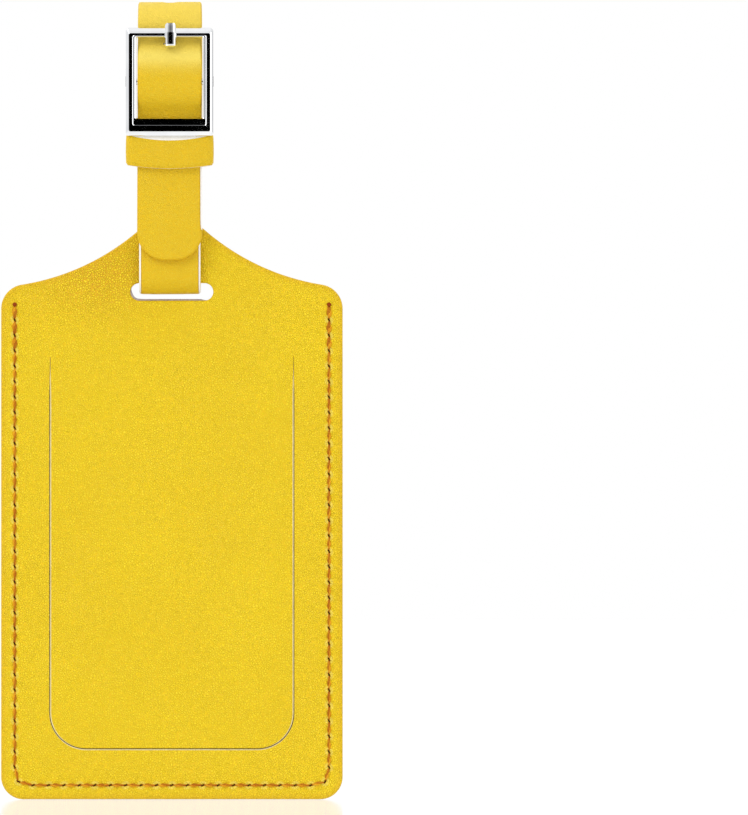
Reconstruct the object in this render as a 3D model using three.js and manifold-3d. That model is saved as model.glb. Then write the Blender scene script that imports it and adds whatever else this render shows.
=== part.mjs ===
// A leather luggage tag on a buckled strap, in millimetres, +Z up, front towards -Y.
//
// Everything is first laid out in the tag's own frame: x = 0 on the centre line, z = 0 at the
// tag's lower edge, y = 0 on the glue line between the lining and the board. The last lines move
// it so that the origin is the spot under the top of the strap's loop where a bag handle bears.
import * as THREE from "three";
import { mergeVertices } from "three/addons/utils/BufferGeometryUtils.js";
import Module from "manifold-3d";

const wasm = await Module();
wasm.setup();

const DEG = Math.PI / 180;

// How finely round shapes are cut, how far a cutting solid reaches past what it cuts, and how
// close two points count as one.
const ARC_STEPS = 7;
const CARD_ARC_STEPS = 5;
const FINE_ARC_STEPS = 8;
const BEND_STEP = 12;
const BAR_SIDES = 20;
const RING_SIDES = 24;
const SEAM_STEPS = 48;
const TIP_STEPS = 6;
const OVERCUT = 1;
const WELD = 1e-4;
const CLOSE = 0.01;

// ---- driving dimensions -------------------------------------------------------------------

// Tag outline: a rectangle with rounded corners, concave shoulders and a round head.
const TAG_HALF = 35;
const BOTTOM_CORNER = 4.6;
const SHOULDER_CORNER = 5;
const SHOULDER_HOLLOW = { x: 38.24, z: 152.9, r: 48 };
const HEAD_R = 10;

// Layers of the tag, as the y of their front and back faces.
const SKIN = { front: -1.7, back: -1.0 };
const LINING = { front: -1.0, back: -0.6 };
const COVER = { front: -0.55, back: -0.35 };
const CARD = { front: -0.35, back: -0.05 };
const BOARD = { front: 0, back: 0.8 };
const BACK_SKIN = { front: 0.8, back: 1.5 };
const TAG_MID_Y = (SKIN.front + BACK_SKIN.back) / 2;

// Strap slot through the head of the tag.
const SLOT = { z: 104, width: 17, height: 3.6, corner: 1.79 };

// Privacy flap, cut out of the front on three sides.
const FLAP = { half: 24.8, bottom: 10.4, hinge: 90.9, corner: 7.3, cut: 0.25, hingeGap: 0.1 };

// Address card, its clear cover, and the pocket that holds both.
const CARD_SIZE = { half: 27, bottom: 6.5, height: 86, corner: 2 };
const POCKET = { half: 27.6, bottom: 6.2, top: 99.2 };

// Seam down both sides and along the lower edge.
const SEAM = { half: 32.2, top: 101.4, bottom: 2.9, corner: 2.6, thread: 0.2, lift: 0.02 };

// Strap: two skins on a pale core, 1.3 mm in all.
const STRAP_T = 1.3;
const CORE_T = 0.5;
const TIP_WIDTH = 13.35;
const TAIL_WIDTH = 12.5;
const TAPER_LENGTH = 110;
const TIP_CORNER = 5.7;

// Strap route, as centre lines seen from the side.
const SWING = { y: TAG_MID_Y, z: 107.2, r: 3.05 };
const BACK_LEAN = 20;
const BUCKLE_BAR = { y: -4.5, z: 147, r: 0.75 };
const WRAP_R = 1.45;
const LAYER_PITCH = STRAP_T + 0.1;
const RISE_Z = 139.2;
const RISE = { near: 4.4, far: 5.8, angle: 43.5 };
const TIP_Z = 110.5;
const LOOP_TOP = { y: 0.85, z: 162.85 };
const LOOP_FRONT_R = 5.35;
const LOOP_BACK_R = 15.79;
const BACK_RUN = 37.78;
const DROP = { r: 5.26, angle: 43.2 };
const DROP_END_Z = 150.3;
const FOLD_END_Z = 127;
const FOLD = { r: 9.77, angle: 20.95 };

// Buckle.
const FRAME = { half: 9.05, bottom: 135.8, top: 158.1, front: -7.6, back: -5.5, bevel: 0.5, corner: 0.3 };
const WINDOW = { half: 6.8, bottom: 139.5, top: 156.3 };
const LUG = { r: 1.3, back: -3.3 };
const BAR_HALF = 8.3;
const RUNNING_GAP = 0.05;
const PRONG = { half: 1.15, t: 1.3, ring: 1.7, root: 1.2, bendR: 5, tipBendR: 1.6, bend: 45 };
const PRONG_STEM = 2.2;
const PRONG_SLOPE = 2.735;
const PRONG_TIP = 1.9;
const PRONG_HOLE = { r: 1.45, stretch: 0.5 };
const PRONG_SLIT = { half: 1.5, bottom: 145.1, top: 149.3, front: -6.66, back: -2.2 };
const SPARE_HOLES = 3;
const HOLE_PITCH = 12.5;
const HOLE_R = 1.3;

// Keeper band.
const KEEPER = { half: 9, wall: 1.25, front: -6.7, back: 0.35, bottom: 130, height: 5.6, bow: 0.8 };
const KEEPER_CORNER = { outer: 1.4, inner: 0.6 };

// The strap hangs this far to the left of the tag's centre line.
const STRAP_SHIFT = -0.4;

// ---- shapes and solids --------------------------------------------------------------------

function solidOf(geometry) {
  const bare = geometry.clone();
  bare.deleteAttribute("normal");
  bare.deleteAttribute("uv");
  const merged = mergeVertices(bare, WELD);
  return new wasm.Manifold(
    new wasm.Mesh({
      numProp: 3,
      vertProperties: new Float32Array(merged.attributes.position.array),
      triVerts: new Uint32Array(merged.index.array),
    }),
  );
}

function geometryOf(solid) {
  const mesh = solid.getMesh();
  const geometry = new THREE.BufferGeometry();
  geometry.setAttribute("position", new THREE.BufferAttribute(mesh.vertProperties, 3));
  geometry.setIndex(new THREE.BufferAttribute(mesh.triVerts, 1));
  geometry.computeVertexNormals();
  return geometry;
}

// A plate whose outline is drawn in x and z, between two values of y.
function plate(shape, { front, back }, curveSegments = ARC_STEPS) {
  const geometry = new THREE.ExtrudeGeometry(shape, {
    depth: back - front,
    bevelEnabled: false,
    curveSegments,
  });
  return geometry.rotateX(Math.PI / 2).translate(0, back, 0);
}

function roundedRect(half, bottom, top, corner) {
  const shape = new THREE.Shape();
  shape.moveTo(-half + corner, bottom);
  shape.lineTo(half - corner, bottom);
  shape.absarc(half - corner, bottom + corner, corner, -90 * DEG, 0);
  shape.lineTo(half, top - corner);
  shape.absarc(half - corner, top - corner, corner, 0, 90 * DEG);
  shape.lineTo(-half + corner, top);
  shape.absarc(-half + corner, top - corner, corner, 90 * DEG, 180 * DEG);
  shape.lineTo(-half, bottom + corner);
  shape.absarc(-half + corner, bottom + corner, corner, 180 * DEG, 270 * DEG);
  return shape;
}

// The flap's outline: square at the hinge, round at the lower corners. `grow` widens it.
function flapOutline(grow, top) {
  const half = FLAP.half + grow;
  const bottom = FLAP.bottom - grow;
  const corner = FLAP.corner + grow;
  const shape = new THREE.Shape();
  shape.moveTo(-half + corner, bottom);
  shape.lineTo(half - corner, bottom);
  shape.absarc(half - corner, bottom + corner, corner, -90 * DEG, 0);
  shape.lineTo(half, top);
  shape.lineTo(-half, top);
  shape.lineTo(-half, bottom + corner);
  shape.absarc(-half + corner, bottom + corner, corner, 180 * DEG, 270 * DEG);
  return shape;
}

// The tag's outline. Each shoulder is a hollow arc that meets the corner arc and the head's arc
// where their circles touch, so the arcs' ends follow from the circles' centres.
function tagOutline() {
  const { x: hollowX, z: hollowZ, r: hollowR } = SHOULDER_HOLLOW;
  const cornerX = TAG_HALF - SHOULDER_CORNER;
  const reach = hollowR + SHOULDER_CORNER;
  const cornerZ = hollowZ - Math.sqrt(reach ** 2 - (hollowX - cornerX) ** 2);
  const headReach = hollowR + HEAD_R;
  const headZ = hollowZ - Math.sqrt(headReach ** 2 - hollowX ** 2);
  const toCorner = Math.atan2(hollowZ - cornerZ, hollowX - cornerX);
  const toHead = Math.atan2(hollowZ - headZ, hollowX);
  const shape = new THREE.Shape();
  shape.moveTo(-TAG_HALF + BOTTOM_CORNER, 0);
  shape.lineTo(TAG_HALF - BOTTOM_CORNER, 0);
  shape.absarc(TAG_HALF - BOTTOM_CORNER, BOTTOM_CORNER, BOTTOM_CORNER, -90 * DEG, 0);
  shape.lineTo(TAG_HALF, cornerZ);
  shape.absarc(cornerX, cornerZ, SHOULDER_CORNER, 0, toCorner);
  shape.absarc(hollowX, hollowZ, hollowR, Math.PI + toCorner, Math.PI + toHead, true);
  shape.absarc(0, headZ, HEAD_R, toHead, Math.PI - toHead);
  shape.absarc(-hollowX, hollowZ, hollowR, -toHead, -toCorner, true);
  shape.absarc(-cornerX, cornerZ, SHOULDER_CORNER, Math.PI - toCorner, Math.PI);
  shape.lineTo(-TAG_HALF, BOTTOM_CORNER);
  shape.absarc(-TAG_HALF + BOTTOM_CORNER, BOTTOM_CORNER, BOTTOM_CORNER, 180 * DEG, 270 * DEG);
  return shape;
}

function slottedTag() {
  const outline = tagOutline();
  const end = SLOT.height / 2;
  outline.holes.push(roundedRect(SLOT.width / 2, SLOT.z - end, SLOT.z + end, SLOT.corner));
  return outline;
}

// A route in the y-z plane made of straight runs and bends. The heading is measured from +Z
// towards +Y, in degrees. Each station has its place, heading and distance from the start.
function walk(start, moves) {
  const stations = [{ ...start, s: 0 }];
  for (const { line, bend, r } of moves) {
    const steps = bend ? Math.max(2, Math.ceil(Math.abs(bend) / BEND_STEP)) : 1;
    for (let i = 0; i < steps; i++) {
      const last = stations[stations.length - 1];
      const turn = bend ? bend / steps : 0;
      const chord = bend ? 2 * r * Math.sin((Math.abs(turn) * DEG) / 2) : line;
      const along = (last.a + turn / 2) * DEG;
      stations.push({
        y: last.y + chord * Math.sin(along),
        z: last.z + chord * Math.cos(along),
        a: last.a + turn,
        s: last.s + (bend ? Math.abs(turn) * DEG * r : line),
      });
    }
  }
  return stations;
}

// The y and z of a point that lies `out` from a station, towards the outside of the loop.
function offset({ y, z, a }, out) {
  return [y + out * Math.cos(a * DEG), z - out * Math.sin(a * DEG)];
}

// A band of the given width that follows a route, between two distances from its centre line.
function band(stations, inner, outer, halfWidth) {
  const positions = [];
  const corners = stations.map((station) => {
    const half = halfWidth(station.s);
    const low = offset(station, inner);
    const high = offset(station, outer);
    return [[half, ...high], [-half, ...high], [-half, ...low], [half, ...low]];
  });
  const quad = (a, b, c, d) => positions.push(...a, ...b, ...c, ...a, ...c, ...d);
  quad(...corners[0].toReversed());
  for (let i = 1; i < corners.length; i++) {
    for (let side = 0; side < 4; side++) {
      const next = (side + 1) % 4;
      quad(corners[i - 1][side], corners[i - 1][next], corners[i][next], corners[i][side]);
    }
  }
  quad(...corners[corners.length - 1]);
  const geometry = new THREE.BufferGeometry();
  geometry.setAttribute("position", new THREE.Float32BufferAttribute(positions, 3));
  return geometry;
}

function box(x0, x1, y0, y1, z0, z1) {
  return new THREE.BoxGeometry(x1 - x0, y1 - y0, z1 - z0).translate(
    (x0 + x1) / 2,
    (y0 + y1) / 2,
    (z0 + z1) / 2,
  );
}

// A round bar along x.
function rod(radius, x0, x1, y, z, sides = BAR_SIDES) {
  const geometry = new THREE.CylinderGeometry(radius, radius, x1 - x0, sides);
  return geometry.rotateZ(Math.PI / 2).translate((x0 + x1) / 2, y, z);
}

// ---- the tag ------------------------------------------------------------------------------

function frontPanel() {
  const outline = slottedTag();
  outline.holes.push(flapOutline(FLAP.cut, FLAP.hinge));
  return plate(outline, SKIN);
}

// The lining is thin over the pocket and reaches the board at its border.
function frontLining() {
  const outline = slottedTag();
  outline.holes.push(flapOutline(FLAP.cut, FLAP.hinge));
  const full = solidOf(plate(outline, { front: LINING.front, back: BOARD.front }));
  const hollow = box(-POCKET.half, POCKET.half, LINING.back, OVERCUT, POCKET.bottom, POCKET.top);
  return geometryOf(full.subtract(solidOf(hollow)));
}

function flapLayer(layer) {
  return plate(flapOutline(0, FLAP.hinge - FLAP.hingeGap), layer);
}

function cardLayer(layer) {
  const { half, bottom, height, corner } = CARD_SIZE;
  return plate(roundedRect(half, bottom, bottom + height, corner), layer, CARD_ARC_STEPS);
}

// A seam's thread, laid along the U of the stitching line at one depth.
function seamThread(y) {
  const { half, top, bottom, corner, thread } = SEAM;
  const path = new THREE.CurvePath();
  const at = (x, z) => new THREE.Vector3(x, y, z);
  path.add(new THREE.LineCurve3(at(-half, top), at(-half, bottom + corner)));
  path.add(
    new THREE.QuadraticBezierCurve3(
      at(-half, bottom + corner), at(-half, bottom), at(-half + corner, bottom),
    ),
  );
  path.add(new THREE.LineCurve3(at(-half + corner, bottom), at(half - corner, bottom)));
  path.add(
    new THREE.QuadraticBezierCurve3(
      at(half - corner, bottom), at(half, bottom), at(half, bottom + corner),
    ),
  );
  path.add(new THREE.LineCurve3(at(half, bottom + corner), at(half, top)));
  const section = new THREE.Shape().absarc(0, 0, thread, 0, 2 * Math.PI);
  return new THREE.ExtrudeGeometry(section, {
    steps: SEAM_STEPS,
    curveSegments: 4,
    extrudePath: path,
  });
}

// ---- the strap ----------------------------------------------------------------------------

// From the folded end, up and over the buckle's bar, down to the slot, round under the tag's
// head, up the back, over the top, down through the buckle and on to the tip.
function strapRoute() {
  const backOfRise = 2 * FOLD.r * Math.sin(FOLD.angle * DEG);
  const rise = (RISE.near + RISE.far) * Math.sin(RISE.angle * DEG);
  const start = { y: SWING.y - SWING.r + LAYER_PITCH, z: FOLD_END_Z, a: 0 };
  const cornerTurn = (90 * DEG) / TIP_STEPS;
  const alongCorner = (i) => TIP_CORNER * Math.cos(i * cornerTurn);
  const tip = Array.from({ length: TIP_STEPS }, (_, i) => ({
    line: alongCorner(i) - alongCorner(i + 1),
  }));
  return walk(start, [
    { line: RISE_Z - FOLD_END_Z },
    { bend: -FOLD.angle, r: FOLD.r },
    { bend: FOLD.angle, r: FOLD.r },
    { line: BUCKLE_BAR.z - RISE_Z - backOfRise },
    { bend: -180, r: WRAP_R },
    { line: BUCKLE_BAR.z - RISE_Z - rise },
    { bend: -RISE.angle, r: RISE.near },
    { bend: RISE.angle, r: RISE.far },
    { line: RISE_Z - SWING.z },
    { bend: BACK_LEAN - 180, r: SWING.r },
    { line: BACK_RUN },
    { bend: -90 - BACK_LEAN, r: LOOP_BACK_R },
    { bend: -90, r: LOOP_FRONT_R },
    { bend: DROP.angle, r: DROP.r },
    { bend: -DROP.angle, r: DROP.r },
    { line: DROP_END_Z - RISE_Z - rise },
    { bend: -RISE.angle, r: RISE.far },
    { bend: RISE.angle, r: RISE.near },
    { line: RISE_Z - TIP_Z - TIP_CORNER },
    ...tip.toReversed(),
  ]);
}

// Half the strap's width at a distance from its tip: a slight taper, and the round tip.
function strapHalfWidth(fromTip) {
  const taper = Math.min(1, fromTip / TAPER_LENGTH);
  const full = (TIP_WIDTH + (TAIL_WIDTH - TIP_WIDTH) * taper) / 2;
  const intoCorner = Math.max(0, TIP_CORNER - fromTip);
  return full - TIP_CORNER + Math.sqrt(TIP_CORNER ** 2 - intoCorner ** 2);
}

// A punch at a station of the strap, square to it, for a hole that may be drawn out downwards.
function punch(station, radius, stretch) {
  const shape = new THREE.Shape();
  shape.absarc(0, 0, radius, 0, Math.PI);
  shape.absarc(0, -stretch, radius, Math.PI, 2 * Math.PI);
  const geometry = new THREE.ExtrudeGeometry(shape, {
    depth: 2 * STRAP_T,
    bevelEnabled: false,
    curveSegments: 5,
  });
  return geometry
    .translate(0, 0, -STRAP_T)
    .rotateX(90 * DEG - (station.a + 180) * DEG)
    .translate(0, station.y, station.z);
}

function stationAt(stations, s) {
  const after = stations.findIndex((station) => station.s >= s);
  const [a, b] = [stations[after - 1], stations[after]];
  const t = (s - a.s) / (b.s - a.s);
  const mix = (key) => a[key] + (b[key] - a[key]) * t;
  return { y: mix("y"), z: mix("z"), a: mix("a"), s };
}

// The hole that the prong uses is where the strap drops forward behind the top bar. The spare
// holes follow it up and over the loop.
function strapHoles(stations) {
  const dropMiddle = (LOOP_TOP.z - LOOP_FRONT_R + DROP_END_Z) / 2;
  const used = stations.findLast((station) => station.z > dropMiddle - CLOSE);
  const holes = [punch(used, PRONG_HOLE.r, PRONG_HOLE.stretch)];
  for (let i = 1; i <= SPARE_HOLES; i++) {
    holes.push(punch(stationAt(stations, used.s - i * HOLE_PITCH), HOLE_R, 0));
  }
  const { half, bottom, top, front, back } = PRONG_SLIT;
  holes.push(box(-half, half, front, back, bottom, top));
  return holes.map(solidOf);
}

function strapLayer(stations, holes, inner, outer) {
  const length = stations[stations.length - 1].s;
  const strip = band(stations, inner, outer, (s) => strapHalfWidth(length - s));
  return geometryOf(holes.reduce((rest, hole) => rest.subtract(hole), solidOf(strip)));
}

// ---- the buckle and the keeper ------------------------------------------------------------

function buckleFrame() {
  const { half, bottom, top, front, back, bevel, corner } = FRAME;
  const outline = roundedRect(half - bevel, bottom + bevel, top - bevel, corner);
  const { half: windowHalf, bottom: windowBottom, top: windowTop } = WINDOW;
  outline.holes.push(
    roundedRect(windowHalf + bevel, windowBottom - bevel, windowTop + bevel, corner),
  );
  const ring = new THREE.ExtrudeGeometry(outline, {
    depth: back - front - 2 * bevel,
    bevelThickness: bevel,
    bevelSize: bevel,
    bevelSegments: 1,
    curveSegments: 3,
  });
  let frame = solidOf(ring.rotateX(Math.PI / 2).translate(0, back - bevel, 0));
  const middle = (front + back) / 2;
  for (const side of [-1, 1]) {
    const [x0, x1] = side < 0 ? [-half, -windowHalf] : [windowHalf, half];
    frame = frame.add(solidOf(box(x0, x1, middle, LUG.back - LUG.r, ...lugSpan())));
    frame = frame.add(solidOf(rod(LUG.r, x0, x1, LUG.back - LUG.r, BUCKLE_BAR.z)));
  }
  const bore = rod(BUCKLE_BAR.r + RUNNING_GAP, -BAR_HALF, BAR_HALF, BUCKLE_BAR.y, BUCKLE_BAR.z);
  return geometryOf(frame.subtract(solidOf(bore)));
}

function lugSpan() {
  return [BUCKLE_BAR.z - LUG.r, BUCKLE_BAR.z + LUG.r];
}

function centreBar() {
  const half = BAR_HALF - RUNNING_GAP;
  return rod(BUCKLE_BAR.r, -half, half, BUCKLE_BAR.y, BUCKLE_BAR.z);
}

// The prong curls round the bar, rises behind the strap, bends out through its hole and lies
// on the front of the frame's top bar.
function prong() {
  const { half, t, ring, root, bendR, tipBendR, bend } = PRONG;
  const start = { y: BUCKLE_BAR.y, z: BUCKLE_BAR.z + root, a: 0 };
  const stations = walk(start, [
    { line: PRONG_STEM },
    { bend: -bend, r: bendR },
    { line: PRONG_SLOPE },
    { bend, r: tipBendR },
    { line: PRONG_TIP },
  ]);
  const shaft = solidOf(band(stations, -t / 2, t / 2, () => half));
  const onBar = (radius, reach) =>
    solidOf(rod(radius, -reach, reach, BUCKLE_BAR.y, BUCKLE_BAR.z, RING_SIDES));
  const curl = onBar(ring, half);
  const bore = onBar(BUCKLE_BAR.r + RUNNING_GAP, half + OVERCUT);
  return geometryOf(shaft.add(curl).subtract(bore));
}

// A closed band round both runs of the strap. Its upper and lower edges bow downwards.
function keeperLoop() {
  const { half, wall, front, back, bottom, height, bow } = KEEPER;
  const ringShape = roundedRect(half, front, back, KEEPER_CORNER.outer);
  ringShape.holes.push(
    roundedRect(half - wall, front + wall, back - wall, KEEPER_CORNER.inner),
  );
  const ring = new THREE.ExtrudeGeometry(ringShape, {
    depth: height + 2 * bow,
    bevelEnabled: false,
    curveSegments: 4,
  });
  ring.translate(0, 0, bottom - bow);
  const side = half + OVERCUT;
  const outline = new THREE.Shape();
  outline.moveTo(-side, bottom);
  outline.quadraticCurveTo(0, bottom - 2 * bow, side, bottom);
  outline.lineTo(side, bottom + height);
  outline.quadraticCurveTo(0, bottom + height - 2 * bow, -side, bottom + height);
  const trim = plate(outline, { front: front - OVERCUT, back: back + OVERCUT }, FINE_ARC_STEPS);
  return geometryOf(solidOf(ring).intersect(solidOf(trim)));
}

// ---- assembly -----------------------------------------------------------------------------

const YELLOW = { color: 0xeac32b, roughness: 0.5, metalness: 0 };
const CREAM = { color: 0xf2ead2, roughness: 0.9, metalness: 0 };
const BOARD_GREY = { color: 0xcfc6b4, roughness: 0.95, metalness: 0 };
const CLEAR = { color: 0xe8eef0, roughness: 0.1, metalness: 0, transparent: true, opacity: 0.4 };
const PAPER = { color: 0xf7f5ee, roughness: 0.85, metalness: 0 };
const THREAD = { color: 0xdc8a2c, roughness: 0.7, metalness: 0 };
const CHROME = { color: 0xd6d8dc, roughness: 0.12, metalness: 1 };

function piece(name, geometry, look) {
  const mesh = new THREE.Mesh(geometry, new THREE.MeshStandardMaterial(look));
  mesh.name = name;
  return mesh;
}

const tag = new THREE.Group();
tag.add(
  piece("front_panel", frontPanel(), YELLOW),
  piece("front_lining", frontLining(), CREAM),
  piece("privacy_flap", flapLayer(SKIN), YELLOW),
  piece("flap_lining", flapLayer(LINING), CREAM),
  piece("clear_cover", cardLayer(COVER), CLEAR),
  piece("address_card", cardLayer(CARD), PAPER),
  piece("stiffener_board", plate(slottedTag(), BOARD), BOARD_GREY),
  piece("back_panel", plate(slottedTag(), BACK_SKIN), YELLOW),
  piece("needle_thread", seamThread(SKIN.front - SEAM.thread - SEAM.lift), THREAD),
  piece("bobbin_thread", seamThread(BACK_SKIN.back + SEAM.thread + SEAM.lift), THREAD),
);
tag.position.x = -STRAP_SHIFT;

const stations = strapRoute();
const holes = strapHoles(stations);
const [faceOut, coreOut] = [STRAP_T / 2, CORE_T / 2];
const strap = new THREE.Group();
strap.add(
  piece("strap_outer_skin", strapLayer(stations, holes, coreOut, faceOut), YELLOW),
  piece("strap_core", strapLayer(stations, holes, -coreOut, coreOut), CREAM),
  piece("strap_inner_skin", strapLayer(stations, holes, -faceOut, -coreOut), YELLOW),
  piece("buckle_frame", buckleFrame(), CHROME),
  piece("buckle_centre_bar", centreBar(), CHROME),
  piece("buckle_prong", prong(), CHROME),
  piece("keeper_loop", keeperLoop(), YELLOW),
);

const luggageTag = new THREE.Group();
luggageTag.add(tag, strap);
luggageTag.position.set(0, -LOOP_TOP.y, -(LOOP_TOP.z - STRAP_T / 2));

export default luggageTag;
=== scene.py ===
"""Looks of a yellow leather luggage tag on a buckled strap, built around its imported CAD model.

Lengths are metres and places are in the model's own frame. The tag's layout is drawn in its
own plane: x across, z up from its lower edge, both taken from the front panel's box.
"""

import math

import bmesh
import bpy
import numpy as np
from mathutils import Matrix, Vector
from mathutils.geometry import delaunay_2d_cdt
from mathutils.kdtree import KDTree


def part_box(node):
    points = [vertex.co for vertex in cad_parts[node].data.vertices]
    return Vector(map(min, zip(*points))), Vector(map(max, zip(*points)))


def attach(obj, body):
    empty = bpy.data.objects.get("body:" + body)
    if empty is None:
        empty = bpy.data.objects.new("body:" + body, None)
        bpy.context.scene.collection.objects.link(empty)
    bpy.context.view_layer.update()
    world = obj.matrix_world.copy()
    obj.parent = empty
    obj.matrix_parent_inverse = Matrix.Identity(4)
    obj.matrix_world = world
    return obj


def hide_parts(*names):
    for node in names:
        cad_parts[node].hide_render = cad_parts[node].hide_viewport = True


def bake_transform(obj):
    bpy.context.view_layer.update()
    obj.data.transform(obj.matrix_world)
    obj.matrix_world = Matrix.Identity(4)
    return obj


MM = 0.001
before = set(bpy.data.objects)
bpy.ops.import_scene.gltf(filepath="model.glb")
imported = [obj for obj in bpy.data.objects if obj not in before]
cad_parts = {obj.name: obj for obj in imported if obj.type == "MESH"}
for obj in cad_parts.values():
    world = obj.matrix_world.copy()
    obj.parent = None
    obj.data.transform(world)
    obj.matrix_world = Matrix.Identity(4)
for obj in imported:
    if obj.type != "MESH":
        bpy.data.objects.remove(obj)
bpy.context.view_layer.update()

# ---- datums from the frame ----

panel_low, panel_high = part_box("front_panel")
back_low, back_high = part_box("back_panel")
keeper_low, keeper_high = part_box("keeper_loop")
buckle_low, buckle_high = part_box("buckle_frame")
bar_low, bar_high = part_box("buckle_centre_bar")
prong_low, prong_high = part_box("buckle_prong")
strap_low, strap_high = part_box("strap_outer_skin")

TAG_X = (panel_low[0] + panel_high[0]) / 2
TAG_Z = panel_low[2]
FRONT_Y = panel_low[1]
SKIN_BACK_Y = panel_high[1]
BACK_Y = back_high[1]
HINGE_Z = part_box("privacy_flap")[1][2] + 0.1 * MM
STRAP_X = (strap_low[0] + strap_high[0]) / 2

# ---- sizes of what the CAD leaves plain ----

TAG_HALF = 35 * MM
BOTTOM_CORNER = 4.6 * MM
SHOULDER_CORNER = 5 * MM
HOLLOW_X, HOLLOW_Z, HOLLOW_R = 38.24 * MM, 152.9 * MM, 48 * MM
HEAD_R = 10 * MM
SLOT_Z, SLOT_HALF, SLOT_END = 104 * MM, 8.5 * MM, 1.8 * MM
CUT_HALF, CUT_BOTTOM, CUT_CORNER = 24.92 * MM, 10.28 * MM, 7.4 * MM
SEAM_HALF, SEAM_TOP, SEAM_BOTTOM, SEAM_CORNER = 32.2 * MM, 101.4 * MM, 2.9 * MM, 2.6 * MM
STITCH = 3.15 * MM
BACK_TACKS = 3
HOLE_SLANT = math.radians(20)

rng = np.random.default_rng(7)


# ---- plane geometry ----

def arc(cx, cz, r, start, end, step):
    """Points on an arc in degrees, without its last one."""
    count = max(2, math.ceil(abs(math.radians(end - start)) * r / step))
    angles = np.radians(np.linspace(start, end, count, endpoint=False))
    return np.column_stack((cx + r * np.cos(angles), cz + r * np.sin(angles)))


def line(x0, z0, x1, z1, step):
    """Points on a straight line, without its last one."""
    count = max(1, math.ceil(math.hypot(x1 - x0, z1 - z0) / step))
    t = np.linspace(0, 1, count, endpoint=False)[:, None]
    return (1 - t) * np.array([x0, z0]) + t * np.array([x1, z1])


def rounded_box(low, high, r, step, corner_step):
    """A rectangle with round corners, anticlockwise from the lower left."""
    (x0, z0), (x1, z1) = low, high
    return np.vstack((
        line(x0 + r, z0, x1 - r, z0, step),
        arc(x1 - r, z0 + r, r, -90, 0, corner_step),
        line(x1, z0 + r, x1, z1 - r, step),
        arc(x1 - r, z1 - r, r, 0, 90, corner_step),
        line(x1 - r, z1, x0 + r, z1, step),
        arc(x0 + r, z1 - r, r, 90, 180, corner_step),
        line(x0, z1 - r, x0, z0 + r, step),
        arc(x0 + r, z0 + r, r, 180, 270, corner_step),
    ))


def tag_outline(step):
    """The tag's edge, anticlockwise from the front. Its arcs meet where their circles touch."""
    corner_x = TAG_HALF - SHOULDER_CORNER
    reach = HOLLOW_R + SHOULDER_CORNER
    corner_z = HOLLOW_Z - math.sqrt(reach**2 - (HOLLOW_X - corner_x) ** 2)
    head_z = HOLLOW_Z - math.sqrt((HOLLOW_R + HEAD_R) ** 2 - HOLLOW_X**2)
    to_corner = math.degrees(math.atan2(HOLLOW_Z - corner_z, HOLLOW_X - corner_x))
    to_head = math.degrees(math.atan2(HOLLOW_Z - head_z, HOLLOW_X))
    inset = TAG_HALF - BOTTOM_CORNER
    half = np.vstack((
        line(0, 0, inset, 0, step),
        arc(inset, BOTTOM_CORNER, BOTTOM_CORNER, -90, 0, step),
        line(TAG_HALF, BOTTOM_CORNER, TAG_HALF, corner_z, step),
        arc(corner_x, corner_z, SHOULDER_CORNER, 0, to_corner, step),
        arc(HOLLOW_X, HOLLOW_Z, HOLLOW_R, 180 + to_corner, 180 + to_head, step),
        arc(0, head_z, HEAD_R, to_head, 90, step),
        [[0, head_z + HEAD_R]],
    ))
    return np.vstack((half, half[1:-1][::-1] * [-1, 1]))


def slot_outline(step):
    """The strap slot's edge, clockwise from the front."""
    r = SLOT_END
    x = SLOT_HALF - SLOT_END
    return np.vstack((
        line(-x, SLOT_Z + r, x, SLOT_Z + r, step),
        arc(x, SLOT_Z, r, 90, -90, step),
        line(x, SLOT_Z - r, -x, SLOT_Z - r, step),
        arc(-x, SLOT_Z, r, 270, 90, step),
    ))


def cut_outline(hinge, step):
    """The middle of the flap's cut and its hinge line, anticlockwise from the front."""
    x = CUT_HALF - CUT_CORNER
    z = CUT_BOTTOM + CUT_CORNER
    return np.vstack((
        line(-x, CUT_BOTTOM, x, CUT_BOTTOM, step),
        arc(x, z, CUT_CORNER, -90, 0, step),
        line(CUT_HALF, z, CUT_HALF, hinge, step),
        line(CUT_HALF, hinge, -CUT_HALF, hinge, step * 2),
        line(-CUT_HALF, hinge, -CUT_HALF, z, step),
        arc(-x, z, CUT_CORNER, 180, 270, step),
    ))


def seam_route(step):
    """The stitching line, from the top left down, along the lower edge and up the right."""
    x = SEAM_HALF - SEAM_CORNER
    z = SEAM_BOTTOM + SEAM_CORNER
    return np.vstack((
        line(-SEAM_HALF, SEAM_TOP, -SEAM_HALF, z, step),
        arc(-x, z, SEAM_CORNER, 180, 270, step),
        line(-x, SEAM_BOTTOM, x, SEAM_BOTTOM, step),
        arc(x, z, SEAM_CORNER, -90, 0, step),
        line(SEAM_HALF, z, SEAM_HALF, SEAM_TOP, step),
        [[SEAM_HALF, SEAM_TOP]],
    ))


def outward(loop):
    """Unit normals of a closed loop that point away from the material on its left."""
    tangent = np.roll(loop, -1, axis=0) - np.roll(loop, 1, axis=0)
    tangent /= np.linalg.norm(tangent, axis=1)[:, None] + 1e-12
    return np.column_stack((tangent[:, 1], -tangent[:, 0]))


def nearest(points, chain):
    """For each point, which of a chain's points is the nearest."""
    tree = KDTree(len(chain))
    for i, (x, z) in enumerate(chain):
        tree.insert((x, z, 0), i)
    tree.balance()
    return np.array([tree.find((x, z, 0))[1] for x, z in points])


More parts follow.
